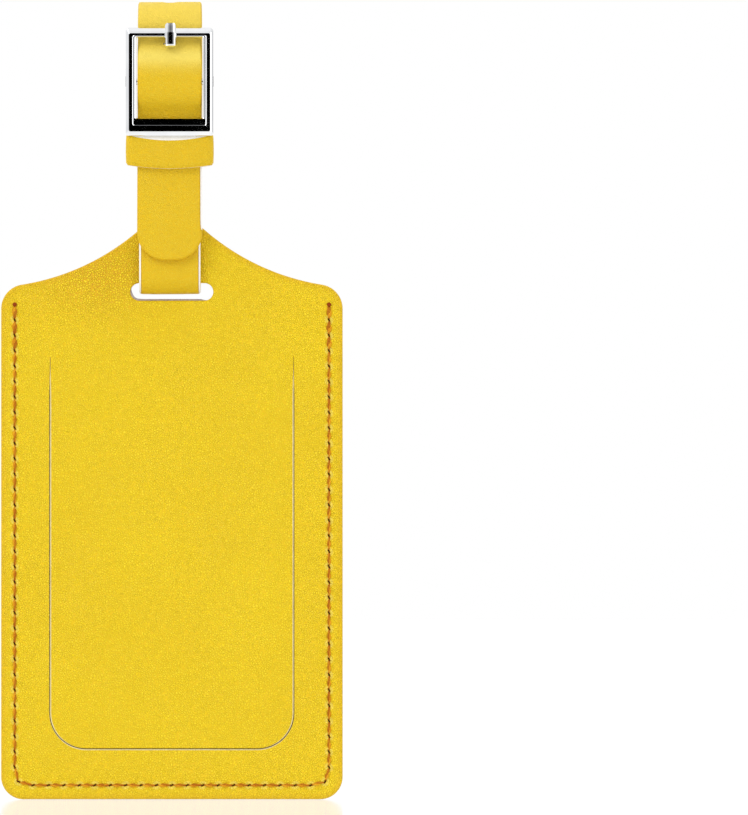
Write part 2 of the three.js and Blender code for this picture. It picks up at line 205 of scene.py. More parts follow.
def distance_to(points, loop, closed=True):
    """Distance from each point to a chain of short segments."""
    near = nearest(points, loop)
    best = np.full(len(points), np.inf)
    for i in (near - 1, near):
        j = i + 1
        if closed:
            i, j = i % len(loop), j % len(loop)
        else:
            i, j = np.clip(i, 0, len(loop) - 1), np.clip(j, 0, len(loop) - 1)
        a, ab = loop[i], loop[j] - loop[i]
        t = np.sum((points - a) * ab, axis=1) / (np.sum(ab * ab, axis=1) + 1e-18)
        foot = a + np.clip(t, 0, 1)[:, None] * ab
        best = np.minimum(best, np.linalg.norm(points - foot, axis=1))
    return best


def inside(points, loop):
    """Whether each point is inside a loop."""
    x, z = points[:, 0], points[:, 1]
    hit = np.zeros(len(points), bool)
    for (x0, z0), (x1, z1) in zip(loop, np.roll(loop, -1, axis=0)):
        if z0 == z1:
            continue
        crosses = (z0 > z) != (z1 > z)
        hit ^= crosses & (x < (x1 - x0) * (z - z0) / (z1 - z0) + x0)
    return hit


def smooth(value, low, high):
    """An even step from 0 at low to 1 at high."""
    t = np.clip((value - low) / (high - low), 0, 1)
    return t * t * (3 - 2 * t)


def hump(value, start, full, ebb, end):
    """An even rise from start to full, and a fall from ebb to end."""
    return smooth(value, start, full) * (1 - smooth(value, ebb, end))


def ripple(points, length, seed):
    """A slow, smooth, repeatable unevenness between about -1 and 1."""
    local = np.random.default_rng(seed)
    total = np.zeros(len(points))
    for _ in range(7):
        angle, phase = local.uniform(0, 2 * math.pi, 2)
        wave = length * local.uniform(0.7, 1.6)
        along = points[:, 0] * math.cos(angle) + points[:, 1] * math.sin(angle)
        total += np.sin(2 * math.pi * along / wave + phase)
    return total / 4


def clear_of(points, loops, gap):
    """The points inside the first loop and outside the others, a gap away from all of them."""
    points = points[inside(points, loops[0])]
    for hole in loops[1:]:
        points = points[~inside(points, hole)]
    for loop in loops:
        points = points[distance_to(points, loop) > gap]
    return points


def staggered(low, high, across, along):
    """A grid of points, with every second row half a step aside."""
    x, z = np.meshgrid(np.arange(low[0], high[0], across), np.arange(low[1], high[1], along))
    x[1::2] += across / 2
    return np.column_stack((x.ravel(), z.ravel()))


def grid_points(loops, spacing, gap):
    """A grid inside the first loop, away from every loop."""
    low, high = loops[0].min(axis=0), loops[0].max(axis=0)
    return clear_of(staggered(low, high, spacing, spacing * 0.866), loops, gap)


def ring_points(loop, insets):
    """Rows of points just inside a loop, for its rolled edge."""
    normal = outward(loop)
    return np.vstack([loop - normal * inset for inset in insets])


def thinned(points, loops, gap):
    """Points at least about a gap apart, and off the loops."""
    keep, seen = [], set()
    for i, (x, z) in enumerate(points):
        key = (round(x / gap), round(z / gap))
        if key not in seen:
            seen.add(key)
            keep.append(i)
    points = points[keep]
    for loop in loops:
        points = points[distance_to(points, loop) > 0.06 * MM]
    return points


# ---- meshes ----

def finished(name, verts, faces, slots, materials, marks=None, sharp_deg=38):
    """A mesh object from arrays, shaded smooth except across sharp edges."""
    mesh = bpy.data.meshes.new(name)
    mesh.from_pydata([tuple(v) for v in verts], [], [tuple(int(i) for i in f) for f in faces])
    for material in materials:
        mesh.materials.append(material)
    mesh.polygons.foreach_set("material_index", np.asarray(slots, dtype=np.int32))
    mesh.polygons.foreach_set("use_smooth", np.ones(len(mesh.polygons), dtype=bool))
    for mark, values in (marks or {}).items():
        attribute = mesh.attributes.new(mark, "FLOAT", "POINT")
        attribute.data.foreach_set("value", np.asarray(values, dtype=np.float32))
    work = bmesh.new()
    work.from_mesh(mesh)
    limit = math.radians(sharp_deg)
    for edge in work.edges:
        if len(edge.link_faces) == 2 and edge.calc_face_angle() > limit:
            edge.smooth = False
    work.to_mesh(mesh)
    work.free()
    return linked(name, mesh)


def linked(name, data):
    """An object in the scene that shows some mesh, camera or light."""
    made = bpy.data.objects.new(name, data)
    bpy.context.scene.collection.objects.link(made)
    return made


def stand_in(made, body, node, slot_name):
    """Hangs a finished piece on its body, in the place of a CAD node."""
    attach(made, body)
    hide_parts(node)


def triangulated(loops, inner):
    """Triangles that fill the first loop and leave out the others."""
    points = np.vstack([*loops, inner])
    edges = []
    start = 0
    for loop in loops:
        count = len(loop)
        edges += [(start + i, start + (i + 1) % count) for i in range(count)]
        start += count
    found = delaunay_2d_cdt([Vector(p) for p in points], edges, [], 0, 1e-9)
    origin = [ids[0] if ids else -1 for ids in found[3]]
    triangles = np.array([[origin[i] for i in face] for face in found[2]])
    triangles = triangles[(triangles >= 0).all(axis=1)]
    middle = points[triangles].mean(axis=1)
    keep = inside(middle, loops[0])
    for hole in loops[1:]:
        keep &= ~inside(middle, hole)
    return triangles[keep]


def slab(name, place, loops, inner, height, walls, materials, far_inner=None, marks_of=None):
    """A sheet with a modelled face, stepped walls and a plain far side.

    It is drawn in its own plane, with the material on each loop's left. height gives how far the
    face stands up from that plane. walls gives, for each loop, rows of (outward shift, height,
    material slot) that lead down to the far side, which has the last material. place puts
    (u, v, height) in the model. marks_of gives the face's points their marks by name.
    """
    flat = np.vstack([*loops, inner])
    rows = [np.column_stack((flat, height(flat)))]
    faces = triangulated(loops, inner).tolist()
    slots = [0] * len(faces)
    total = len(flat)
    start = 0
    last_loops, last_ids = [], []
    for k, loop in enumerate(loops):
        count = len(loop)
        normal = outward(loop)
        previous = np.arange(start, start + count)
        for shift, level, slot in walls(k, loop):
            moved = loop + normal * np.broadcast_to(shift, count)[:, None]
            rows.append(np.column_stack((moved, np.broadcast_to(level, count))))
            current = np.arange(total, total + count)
            total += count
            turned = np.roll(previous, -1), np.roll(current, -1)
            faces += np.column_stack((turned[0], previous, current, turned[1])).tolist()
            slots += np.broadcast_to(slot, count).tolist()
            previous = current
        last_loops.append(moved)
        last_ids.append(previous)
        start += count
    ids = np.concatenate(last_ids)
    if far_inner is None:
        far_inner = np.zeros((0, 2))
    else:
        rows.append(np.column_stack((far_inner, np.full(len(far_inner), level))))
        ids = np.concatenate((ids, np.arange(total, total + len(far_inner))))
    far = ids[triangulated(last_loops, far_inner)]
    faces += far[:, ::-1].tolist()
    slots += [len(materials) - 1] * len(far)
    verts = np.vstack(rows)
    marks = {}
    if marks_of is not None:
        for mark, values in marks_of(flat).items():
            marks[mark] = np.zeros(len(verts))
            marks[mark][: len(flat)] = values
    return finished(name, place(*verts.T), faces, slots, materials, marks)


def skin_faces(count, sides, closed_path):
    """Faces through rows of closed sections, with end caps unless the rows close on themselves."""
    ids = np.arange(count * sides).reshape(count, sides)
    beside = np.roll(ids, -1, axis=1)
    faces = np.stack((ids, beside, np.roll(beside, -1, axis=0), np.roll(ids, -1, axis=0)), axis=-1)
    if closed_path:
        return faces.reshape(-1, 4).tolist()
    return [*faces[:-1].reshape(-1, 4).tolist(), ids[0][::-1].tolist(), ids[-1].tolist()]


def skin_through(rings, closed_path):
    """A closed skin's vertices and faces through rows of sections, right side out."""
    rings = np.array(rings)
    verts, faces = rings.reshape(-1, 3), skin_faces(*rings.shape[:2], closed_path)
    if enclosed(verts, faces) < 0:
        faces = [face[::-1] for face in faces]
    return verts.tolist(), faces


def enclosed(verts, faces):
    """Six times the volume inside a closed skin, negative where it is inside out."""
    verts = verts - verts.mean(axis=0)
    total = 0.0
    for face in faces:
        a = verts[face[0]]
        for i, j in zip(face[1:-1], face[2:]):
            total += np.dot(a, np.cross(verts[i], verts[j]))
    return total


def on_front(u, v, h):
    """From the tag's plane, seen from the front, to the model."""
    return np.column_stack((TAG_X + u, -h, TAG_Z + v))


def on_back(u, v, h):
    """From the tag's plane, seen from behind, to the model."""
    return np.column_stack((TAG_X - u, h, TAG_Z + v))


# ---- materials ----

YELLOW, YELLOW_DEEP = (0.965, 0.715, 0.003), (0.93, 0.67, 0.003)
STRAP_YELLOW, STRAP_DEEP = (0.82, 0.57, 0.004), (0.78, 0.525, 0.003)
# Painted shade along rolled edges and hole rims, under the buckle's bottom bar, and in the grain's
# valleys.
SHADE_BROWN = (0.80, 0.45, 0.003)
# Painted shade in the head's creases.
CREASE_SHADE = (0.68, 0.32, 0.004)
# Painted highlight on the grain's tops, on the puckers round the needle holes and on the strap's loop.
HIGHLIGHT_YELLOW = (0.95, 0.76, 0.14)
# Painted shade in the needle holes: reddish at their rims, near black in their middles.
HOLE_RIM_SHADE = (0.35, 0.10, 0.006)
HOLE_SHADE = (0.06, 0.018, 0.003)
THREAD, THREAD_DEEP = (0.92, 0.45, 0.02), (0.58, 0.19, 0.004)
THREAD_SHADE = (0.26, 0.035, 0.003)
# Tints that the leather takes by its marks: painted shade, painted highlight, and painted shade in the
# needle holes.
MARK_TINTS = (
    ("stain", 0, 1, SHADE_BROWN),
    ("pale", 0, 1, HIGHLIGHT_YELLOW),
    ("dark", 0, 0.4, HOLE_RIM_SHADE),
    ("dark", 0.2, 0.7, HOLE_SHADE),
)


class Nodes:
    """Short ways to add nodes to the tree of a material or of the world."""

    def __init__(self, tree, coordinates):
        self.tree = tree
        self.place = tree.nodes.new("ShaderNodeTexCoord").outputs[coordinates]

    def feed(self, socket, value):
        """Links a socket to another node's output, or sets its own value."""
        if isinstance(value, bpy.types.NodeSocket):
            self.tree.links.new(value, socket)
        else:
            socket.default_value = value

    def add(self, kind, props=None, **inputs):
        """A node with its properties and inputs set."""
        made = self.tree.nodes.new("ShaderNode" + kind)
        for name, value in (props or {}).items():
            setattr(made, name, value)
        for name, value in inputs.items():
            self.feed(made.inputs[name.replace("_", " ")], value)
        return made

    def in_order(self, kind, props, values):
        """A node whose first inputs take the values in turn, and its result."""
        made = self.add(kind, props)
        for socket, value in zip(made.inputs, values):
            self.feed(socket, value)
        return made.outputs[0]

    def maths(self, operation, *values):
        """A Math node's result."""
        return self.in_order("Math", {"operation": operation}, values)

    def mixed(self, factor, a, b):
        """One colour mixed into another."""
        made = self.add("Mix", {"data_type": "RGBA"})
        for index, value in ((0, factor), (6, a), (7, b)):
            self.feed(made.inputs[index], (*value, 1) if isinstance(value, tuple) else value)
        return made.outputs[2]

    def mixed_shader(self, factor, a, b):
        """One shader mixed into another."""
        return self.in_order("MixShader", None, (factor, a.outputs[0], b.outputs[0]))

    def ramp(self, value, low, high, to_low=0.0, to_high=1.0):
        """A value's range stretched to another, and clamped."""
        ends = {"From_Min": low, "From_Max": high, "To_Min": to_low, "To_Max": to_high}
        return self.add("MapRange", {"clamp": True}, Value=value, **ends).outputs[0]

    def noise(self, scale, detail, squeeze=None):
        """A noise over the object's own coordinates, finer along the axes that are squeezed."""
        place = self.place
        if squeeze:
            place = self.add("Mapping", Vector=place, Scale=squeeze).outputs[0]
        return self.add("TexNoise", Vector=place, Scale=scale, Detail=detail).outputs[0]

    def mark(self, name):
        """How strongly the mesh carries a mark here."""
        return self.add("Attribute", {"attribute_name": name}).outputs["Fac"]


class Look(Nodes):
    """A new material with its shader's constants set."""

    def __init__(self, name, **settings):
        self.material = bpy.data.materials.new(name)
        self.material.use_nodes = True
        super().__init__(self.material.node_tree, "Object")
        self.shader = self.tree.nodes["Principled BSDF"]
        for key, value in settings.items():
            self.shader.inputs[key.replace("_", " ")].default_value = value

    def done(self, height, relief, strength=1.0, **fed):
        """The material, once its shader has its bumps and what else is fed to it."""
        fed["Normal"] = self.add("Bump", Strength=strength, Distance=relief, Height=height).outputs[0]
        for name, value in fed.items():
            self.feed(self.shader.inputs[name.replace("_", " ")], value)
        return self.material


def leather(name, light, deep, grain, relief):
    """Coated pebble-grained leather, finer grain on its cells, painted shade between them and painted
    highlights on top.
    """
    look = Look(name, Specular_IOR_Level=0.3)
    warp = look.add("TexNoise", Vector=look.place, Scale=grain * 0.45, Detail=2.0).outputs["Color"]
    shifts = (warp, (0.9 / grain,) * 3, look.place)
    shifted = look.in_order("VectorMath", {"operation": "MULTIPLY_ADD"}, shifts)
    cells = look.add("TexVoronoi", {"feature": "DISTANCE_TO_EDGE"}, Vector=shifted, Scale=grain)
    pebble = look.ramp(cells.outputs["Distance"], 0.0, 0.3)
    slow = look.noise(130.0, 3.0)
    height = look.maths("MULTIPLY_ADD", look.noise(grain * 1.7, 2.0), 0.5, pebble)
    height = look.maths("ADD", slow, height)
    colour = look.mixed(look.ramp(look.noise(38.0, 2.0), 0.3, 0.7), deep, light)
    # Painted shade in the lines between the grain's cells, and a painted highlight on the cells' tops.
    colour = look.mixed(look.ramp(pebble, 0.0, 0.6, 0.6, 0.0), colour, SHADE_BROWN)
    colour = look.mixed(look.ramp(pebble, 0.7, 1.0, 0.0, 0.12), colour, HIGHLIGHT_YELLOW)
    # Painted shade in the valleys of the head's creases.
    shade_in_creases = look.maths("MULTIPLY", look.mark("creased"), look.ramp(pebble, 0.0, 0.8, 1.0, 0.0))
    colour = look.mixed(shade_in_creases, colour, CREASE_SHADE)
    for mark, low, high, tint in MARK_TINTS:
        colour = look.mixed(look.ramp(look.mark(mark), low, high), colour, tint)
    return look.done(height, relief, Base_Color=colour, Roughness=look.ramp(slow, 0.3, 0.7, 0.42, 0.58))


def fibre(name, light, dark, scale=2600):
    """Raw fibre: the cut edge of leather, its backing or a board."""
    look = Look(name, Roughness=0.92, Specular_IOR_Level=0.2)
    hairs = look.noise(scale, 5.0, (1.0, 2.4, 1.3))
    tone = look.maths("MULTIPLY_ADD", look.noise(scale * 0.12, 2.0), 0.6, hairs)
    return look.done(hairs, 0.05 * MM, Base_Color=look.mixed(look.ramp(tone, 0.5, 1.05), dark, light))


def weave(name, light, dark, pitch=0.4 * MM):
    """Fine plain-weave backing cloth, with its threads a pitch apart."""
    look = Look(name, Roughness=0.9, Specular_IOR_Level=0.2)
    bands = {"Vector": look.place, "Scale": math.pi / 10 / pitch, "Distortion": 0.6}
    warp, weft = (look.add("TexWave", {"bands_direction": axis}, **bands) for axis in "XZ")
    cloth = look.maths("MULTIPLY", warp.outputs["Fac"], weft.outputs["Fac"])
    tone = look.maths("MULTIPLY_ADD", look.noise(0.6 / pitch, 4.0), 0.7, cloth)
    return look.done(tone, 0.05 * MM, Base_Color=look.mixed(look.ramp(tone, 0.2, 1.1), dark, light))


def thread_look(name, light, dark):
    """Waxed sewing thread, with the fine lines of its filaments."""
    look = Look(name, Specular_IOR_Level=0.12)
    hairs = look.noise(5200.0, 3.0)
    tone = look.maths("MULTIPLY_ADD", look.noise(260.0, 1.0), 0.8, hairs)
    colour = look.mixed(look.ramp(tone, 0.6, 1.2), dark, light)
    # The mark paints shade where the thread dives into its holes and on the darker of its two plies, and
    # gives the knots their dark red.
    colour = look.mixed(look.mark("stain"), colour, THREAD_SHADE)
    rough = look.ramp(hairs, 0.3, 0.7, 0.5, 0.75)
    return look.done(hairs, 0.03 * MM, 0.8, Base_Color=colour, Roughness=rough)


def chrome_look(name):
    """Polished plate with a trace of fine scratches and haze."""
    look = Look(name, Metallic=1.0)
    scratch = look.noise(900.0, 4.0, (1.0, 1.0, 9.0))
    haze = look.noise(220.0, 2.0)
    colour = look.mixed(look.ramp(haze, 0.4, 0.7), (0.78, 0.79, 0.81), (0.86, 0.87, 0.88))
    rough = look.ramp(haze, 0.3, 0.75, 0.03, 0.08)
    return look.done(scratch, 0.002 * MM, 0.12, Base_Color=colour, Roughness=rough)


def card_look(name):
    """Plain card with a few printed rules to write on."""
    margin, end, half, pitch, thickness = 16 * MM, 14 * MM, 22 * MM, 9 * MM, 0.035
    look = Look(name, Roughness=0.8)
    x, _, z = look.add("SeparateXYZ", Vector=look.place).outputs
    low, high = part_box("address_card")
    fall = look.maths("SUBTRACT", high[2] - margin, z)
    rule = look.maths("LESS_THAN", look.maths("FRACT", look.maths("DIVIDE", fall, pitch)), thickness)
    aside = look.maths("ABSOLUTE", look.maths("SUBTRACT", x, TAG_X))
    limits = (
        look.maths("LESS_THAN", aside, half),
        look.maths("LESS_THAN", z, high[2] - margin + 0.1 * MM),
        look.maths("GREATER_THAN", z, low[2] + end),
    )
    for limit in limits:
        rule = look.maths("MULTIPLY", rule, limit)
    pulp = look.noise(1800.0, 4.0)
    paper = look.mixed(look.ramp(pulp, 0.3, 0.7), (0.84, 0.82, 0.76), (0.91, 0.90, 0.86))
    ink = look.mixed(rule, paper, (0.25, 0.27, 0.32))
    return look.done(pulp, 0.02 * MM, 0.5, Base_Color=ink)


def clear_look(name):
    """Thin clear vinyl, faintly hazed."""
    look = Look(name, Alpha=0.22, Base_Color=(0.92, 0.95, 0.97, 1))
    haze = look.noise(160.0, 3.0)
    return look.done(haze, 0.05 * MM, 0.4, Roughness=look.ramp(haze, 0.3, 0.7, 0.08, 0.2))


panel_leather = leather("panel_leather", YELLOW, YELLOW_DEEP, 2300, 0.13 * MM)
strap_leather = leather("strap_leather", STRAP_YELLOW, STRAP_DEEP, 2700, 0.07 * MM)
raw_edge = fibre("raw_edge", (0.96, 0.86, 0.50), (0.84, 0.68, 0.30))
core_fibre = fibre("core_fibre", (0.98, 0.96, 0.90), (0.88, 0.84, 0.74))
board_fibre = fibre("board_fibre", (0.80, 0.72, 0.55), (0.48, 0.38, 0.25), scale=1500)
# A dark edge that paints the shade deep in the flap's cut.
gap_shade = fibre("shaded_edge", (0.26, 0.16, 0.012), (0.12, 0.07, 0.006))
# The slot's wall: the pale core, painted in shade.
slot_wall_shade = fibre("shaded_slot_edge", (0.46, 0.40, 0.40), (0.25, 0.18, 0.14))
backing_cloth = weave("backing_cloth", (0.86, 0.79, 0.62), (0.60, 0.51, 0.35))
orange_thread = thread_look("orange_thread", THREAD, THREAD_DEEP)
chrome = chrome_look("chrome_plate")


# ---- the seam ----

KNOT_R, KNOT_HEIGHT, KNOT_ROWS, KNOT_SHADE = 0.45 * MM, 0.3 * MM, 7, 0.95
PLY_R, PLY_SPREAD, PLY_ROWS = 0.2 * MM, 0.18 * MM, 17
HIDDEN = 0.07  # the share of a stitch that is down in the hole at either end
PLY_TURNS = 0.95
BESIDE = 0.15 * MM  # how far the two threads of a doubled stitch lie from its middle
SEAM_OFFSETS = [k * MM for k in (-0.95, -0.6, -0.36, -0.18, 0, 0.18, 0.36, 0.6, 0.95)]


def along_route(route, spacing):
    """Points a fixed distance apart along a chain, and the direction there."""
    steps = np.linalg.norm(np.diff(route, axis=0), axis=1)
    run = np.concatenate(([0], np.cumsum(steps)))
    at = np.linspace(0, run[-1], round(run[-1] / spacing) + 1)
    points, ahead, behind = (
        np.column_stack([np.interp(at + shift * MM, run, route[:, k]) for k in (0, 1)])
        for shift in (0, 0.1, -0.1)
    )
    heading = ahead - behind
    return points, heading / np.linalg.norm(heading, axis=1)[:, None]


seam = seam_route(0.2 * MM)
needle_at, needle_heading = along_route(seam, STITCH)


def seam_points():
    """Rows of points along the seam, close enough together to carry the needle holes."""
    tangent = np.gradient(seam, axis=0)
    tangent /= np.linalg.norm(tangent, axis=1)[:, None]
    side = np.column_stack((-tangent[:, 1], tangent[:, 0]))
    return np.vstack([seam + side * offset for offset in SEAM_OFFSETS])


def seam_relief(points):
    """How far the seam pulls the surface in, and how much of a slit or a pucker each point is."""
    off = distance_to(points, seam, closed=False)
    sink = 0.12 * MM * np.exp(-((off / (0.7 * MM)) ** 2))
    c, d = math.cos(HOLE_SLANT), math.sin(HOLE_SLANT)
    near = 1 + nearest(points, needle_at[1:-1])
    slanted = needle_heading[near] @ np.array([[c, d], [-d, c]])
    delta = points - needle_at[near]
    along = np.abs(np.sum(delta * slanted, axis=1))
    cross = np.abs(delta[:, 0] * slanted[:, 1] - delta[:, 1] * slanted[:, 0])
    slit = np.exp(-((along / (0.38 * MM)) ** 4) - (cross / (0.14 * MM)) ** 4)
    halo = np.hypot(along / 1.25, cross)
    pucker = np.exp(-(((halo - 0.52 * MM) / (0.2 * MM)) ** 2))
    return sink + 0.36 * MM * slit - 0.05 * MM * pucker, slit, pucker


def knot(end, level):
    """A round knot's rows of points."""
    up = np.radians(np.linspace(-80, 80, KNOT_ROWS))[:, None]
    turn = np.linspace(0, 2 * math.pi, 10, endpoint=False)
    across = KNOT_R * np.cos(up)
    x, z = end[0] + across * np.cos(turn), end[1] + across * np.sin(turn)
    return np.stack(np.broadcast_arrays(x, z, level + KNOT_HEIGHT * np.sin(up)), axis=-1)


def stitch(a, b, beside, hand, level):
    """One stitch's two twisted plies: rows of points, and how shaded each row is."""
    forward = (b - a) / np.linalg.norm(b - a)
    side = np.array([-forward[1], forward[0]])
    lean = rng.normal(0.05 * MM, 0.04 * MM)
    start_turn = rng.normal(0.6, 0.25)
    tone = rng.uniform(0, 0.1) + (0.04 if beside else 0)
    part = np.linspace(0, 1, PLY_ROWS)
    t = HIDDEN + (1 - 2 * HIDDEN) * part
    rise = np.abs(np.sin(math.pi * part)) ** 0.55
    middle = a + np.outer(t, b - a) + np.outer((t - 0.5) * 2 * lean + beside * rise, side)
    spread = PLY_SPREAD * (0.35 + 0.65 * rise)
    radius = PLY_R * (0.5 + 0.5 * rise)
    phi = np.linspace(0, 2 * math.pi, 8, endpoint=False)
    # Painted shade: the second ply is darker, and both plies darken where they dive into the holes.
    for ply, darker in ((0, tone), (math.pi, tone + 0.5)):
        angle = start_turn + ply + hand * part * 2 * math.pi * PLY_TURNS
        centre = middle + np.outer(spread * np.cos(angle), side)
        lift = level + (0.36 * rise - 0.37) * MM + spread * np.sin(angle) * 0.7
        across = np.outer(radius, np.cos(phi))[..., None] * side
        rows = np.dstack((centre[:, None] + across, lift[:, None] + np.outer(radius, np.sin(phi))))
        yield rows, darker + (0.9 - darker) * (1 - rise) ** 1.5


def stitches(name, place, level, hand):
    """The seam's thread: at each stitch two plies twisted together, diving in at both holes.

    A knot ends it on both sides. The first and last few stitches are sewn twice, so there the
    thread lies beside itself.
    """
    shades = np.full(KNOT_ROWS, KNOT_SHADE)
    parts = [(knot(end, level), shades) for end in (needle_at[0], needle_at[-1])]
    count = len(needle_at) - 1
    for i in range(count):
        twice = i < BACK_TACKS or i >= count - BACK_TACKS
        for beside in (BESIDE, -BESIDE) if twice else (0.0,):
            parts += stitch(needle_at[i], needle_at[i + 1], beside, hand, level)
    faces, start = [], 0
    for rows, _ in parts:
        faces += [[i + start for i in face] for face in skin_faces(*rows.shape[:2], False)]
        start += rows.shape[0] * rows.shape[1]
    verts = np.vstack([rows.reshape(-1, 3) for rows, _ in parts])
    shade = np.concatenate([np.repeat(shades, rows.shape[1]) for rows, shades in parts])
    return finished(name, place(*verts.T), faces, [0] * len(faces), [orange_thread], {"stain": shade}, 80)


# ---- the tag's panels ----

EDGE_R = 0.5 * MM
SLOT_R = 0.3 * MM
CUT_R = 0.16 * MM
GAP = 0.2 * MM
EDGE_INSETS = [0.06 * MM, 0.15 * MM, 0.28 * MM, 0.45 * MM, 0.7 * MM]
SLOT_INSETS = [0.1 * MM, 0.22 * MM, 0.4 * MM]
CUT_INSETS = [0.12 * MM, 0.3 * MM]
CUT_TOP = HINGE_Z - TAG_Z
edge_loop = tag_outline(0.5 * MM)
slot_loop = slot_outline(0.3 * MM)


def rolled(distance, radius):
    """How far a rounded edge has dropped at a distance in from it."""
    left = radius - np.clip(distance, 0, radius)
    return radius - np.sqrt(np.maximum(radius**2 - left**2, 0))


def head_crease(points):
    """How creased the head is, where the strap has bent it to one side of the slot."""
    away = points - np.array([-15 * MM, 108 * MM])
    return np.exp(-((away[:, 0] / (12 * MM)) ** 2) - (away[:, 1] / (8 * MM)) ** 2)


def front_relief(points):
    """The front's height above its own plane, shared by the panel and the flap."""
    pull, _, _ = seam_relief(points)
    wave = 0.035 * MM * ripple(points, 16 * MM, 3) + 0.012 * MM * ripple(points, 5 * MM, 4)
    crease = 0.05 * MM * head_crease(points) * ripple(points, 1.9 * MM, 5)
    return -pull + wave + crease - 0.03 * MM


def panel_marks(points):
    """Painted shade in the needle holes, a painted highlight on the puckers, and painted shade along the
    rolled edge and in creases.
    """
    _, slit, pucker = seam_relief(points)
    rim = distance_to(points, edge_loop)
    # Painted shade along the rolled edge, with a fine dark line at the very edge.
    edge = 0.42 * (1 - smooth(rim, 0.3 * MM, 1.5 * MM)) + 0.1 * np.exp(-rim / (0.2 * MM))
    return {
        "stain": np.clip(edge, 0, 1),
        # Painted highlight on the puckers, and painted shade in the needle holes and the head's creases.
        "pale": 0.7 * pucker * (1 - slit),
        "dark": slit,
        "creased": 0.85 * head_crease(points),
    }


def split_cut():
    """The flap's edge and the window's edge, a gap apart that closes towards the hinge."""
    middle = cut_outline(CUT_TOP, 0.4 * MM)
    normal = outward(middle)
    normal[np.abs(middle[:, 1] - CUT_TOP) < 0.01 * MM] = [0, 0]
    open_here = smooth(CUT_TOP - middle[:, 1], 0.2 * MM, 9 * MM)
    reach = (0.04 * MM + (GAP - 0.04 * MM) * open_here)[:, None]
    return middle - normal * reach, (middle + normal * reach)[::-1]


flap_loop, window_loop = split_cut()


def cut_part(loop, first):
    """A cut edge without its hinge line, from its top on the right (1) or the left (-1)."""
    sides = loop[loop[:, 1] < CUT_TOP - 0.01 * MM]
    return np.roll(sides, -np.argmax(sides[:, 1] * (first * sides[:, 0] > 0)), axis=0)


def side_share(loop):
    """How much of a cut edge faces sideways: 1 on the tag's sides, 0 along its lower edge."""
    return np.abs(outward(loop)[:, 0]) ** 1.5


def hinge_fade(loop):
    """How far a cut edge is from the hinge: 0 at it, 1 well below it."""
    return smooth(CUT_TOP - loop[:, 1], 0.5 * MM, 6 * MM)


def panel_points(loops, insets, spacing):
    """Points of a stitched panel: rows along its edges and its seam, and a grid between them."""
    rows = [ring_points(loop, row) for loop, row in zip(loops, insets)]
    rows = np.vstack((*rows, seam_points()))
    rows = rows[inside(rows, loops[0])]
    for window in loops[2:]:
        rows = rows[~inside(rows, window)]
    grid = grid_points(loops, spacing, 0.8 * MM)
    grid = grid[distance_to(grid, seam, closed=False) > 1.1 * MM]
    return np.vstack((thinned(rows, loops, 0.14 * MM), grid))


def front_panel():
    """The front's leather, with its rolled edge, the strap's slot and the flap's window."""
    loops = [edge_loop, slot_loop, window_loop]
    inner = panel_points(loops, (EDGE_INSETS, SLOT_INSETS, CUT_INSETS), 0.9 * MM)
    face, back = -FRONT_Y, -SKIN_BACK_Y
    window_sides = cut_part(window_loop, 1)

    def height(points):
        drop = rolled(distance_to(points, edge_loop), EDGE_R)
        drop += rolled(distance_to(points, slot_loop), SLOT_R)
        drop += 0.5 * rolled(distance_to(points, window_sides, closed=False), CUT_R)
        return face + front_relief(points) - drop

    def walls(k, loop):
        if k == 0:
            yield 0, face - 0.55 * MM, 0
            yield 0, back, 1
        elif k == 1:
            below = SLOT_Z - loop[:, 1]
            left = smooth(-loop[:, 0], 4 * MM, 7 * MM) * smooth(below, -1.2 * MM, 0.6 * MM)
            low = smooth(below, 0.8 * MM, 1.6 * MM) * smooth(7.6 * MM - loop[:, 0], 0, 2 * MM)
            frayed = MM * np.maximum(0.42 * left, 0.34 * low)
            yield 0.02 * MM, face - SLOT_R, 0
            # Below the rounded lip the slot's wall is the pale core in painted shade.
            yield frayed, face - 0.5 * MM, 3
            yield frayed, back, 3
        else:
            lit = 1 - side_share(loop)
            bevel = 0.24 * MM * lit * hinge_fade(loop)
            yield 0.02 * MM, face - CUT_R, 1
            yield bevel, face - 0.22 * MM - 0.14 * MM * lit, 1
            # Deeper in, the cut's wall is a dark edge that paints the gap's shade.
            yield bevel, back, 2

    return slab(
        "front_leather", on_front, loops, inner, height, walls,
        [panel_leather, raw_edge, gap_shade, slot_wall_shade, backing_cloth], marks_of=panel_marks,
    )


def flap():
    """The flap's leather. Its cut edge slopes where it shows, over a ledge in the gap's depth."""
    rows = ring_points(flap_loop, [*CUT_INSETS, 0.6 * MM])
    inner = np.vstack((rows, grid_points([flap_loop], 0.9 * MM, 0.8 * MM)))
    inner = thinned(inner[inside(inner, flap_loop)], [flap_loop], 0.1 * MM)
    face, back = -FRONT_Y, -SKIN_BACK_Y
    sides = cut_part(flap_loop, -1)

    def height(points):
        drop = rolled(distance_to(points, sides, closed=False), CUT_R)
        return face + front_relief(points) - 0.5 * drop

    def walls(_, loop):
        share, soft = side_share(loop), hinge_fade(loop)
        bevel = 0.22 * MM * share * soft
        ledge = np.maximum(bevel, (2 * GAP - 0.06 * MM - 0.2 * MM * (1 - share)) * soft)
        yield 0.01 * MM * soft, face - 0.12 * MM, 0
        yield bevel, face - 0.16 * MM - 0.1 * MM * share, 1
        # Deeper in, the cut's wall and its ledge are a dark edge that paints the gap's shade.
        yield bevel, face - 0.52 * MM, 2
        yield ledge, face - 0.56 * MM, 2
        yield ledge, back, 2

    return slab(
        "flap_leather", on_front, [flap_loop], inner, height, walls,
        [panel_leather, raw_edge, gap_shade, backing_cloth],
    )


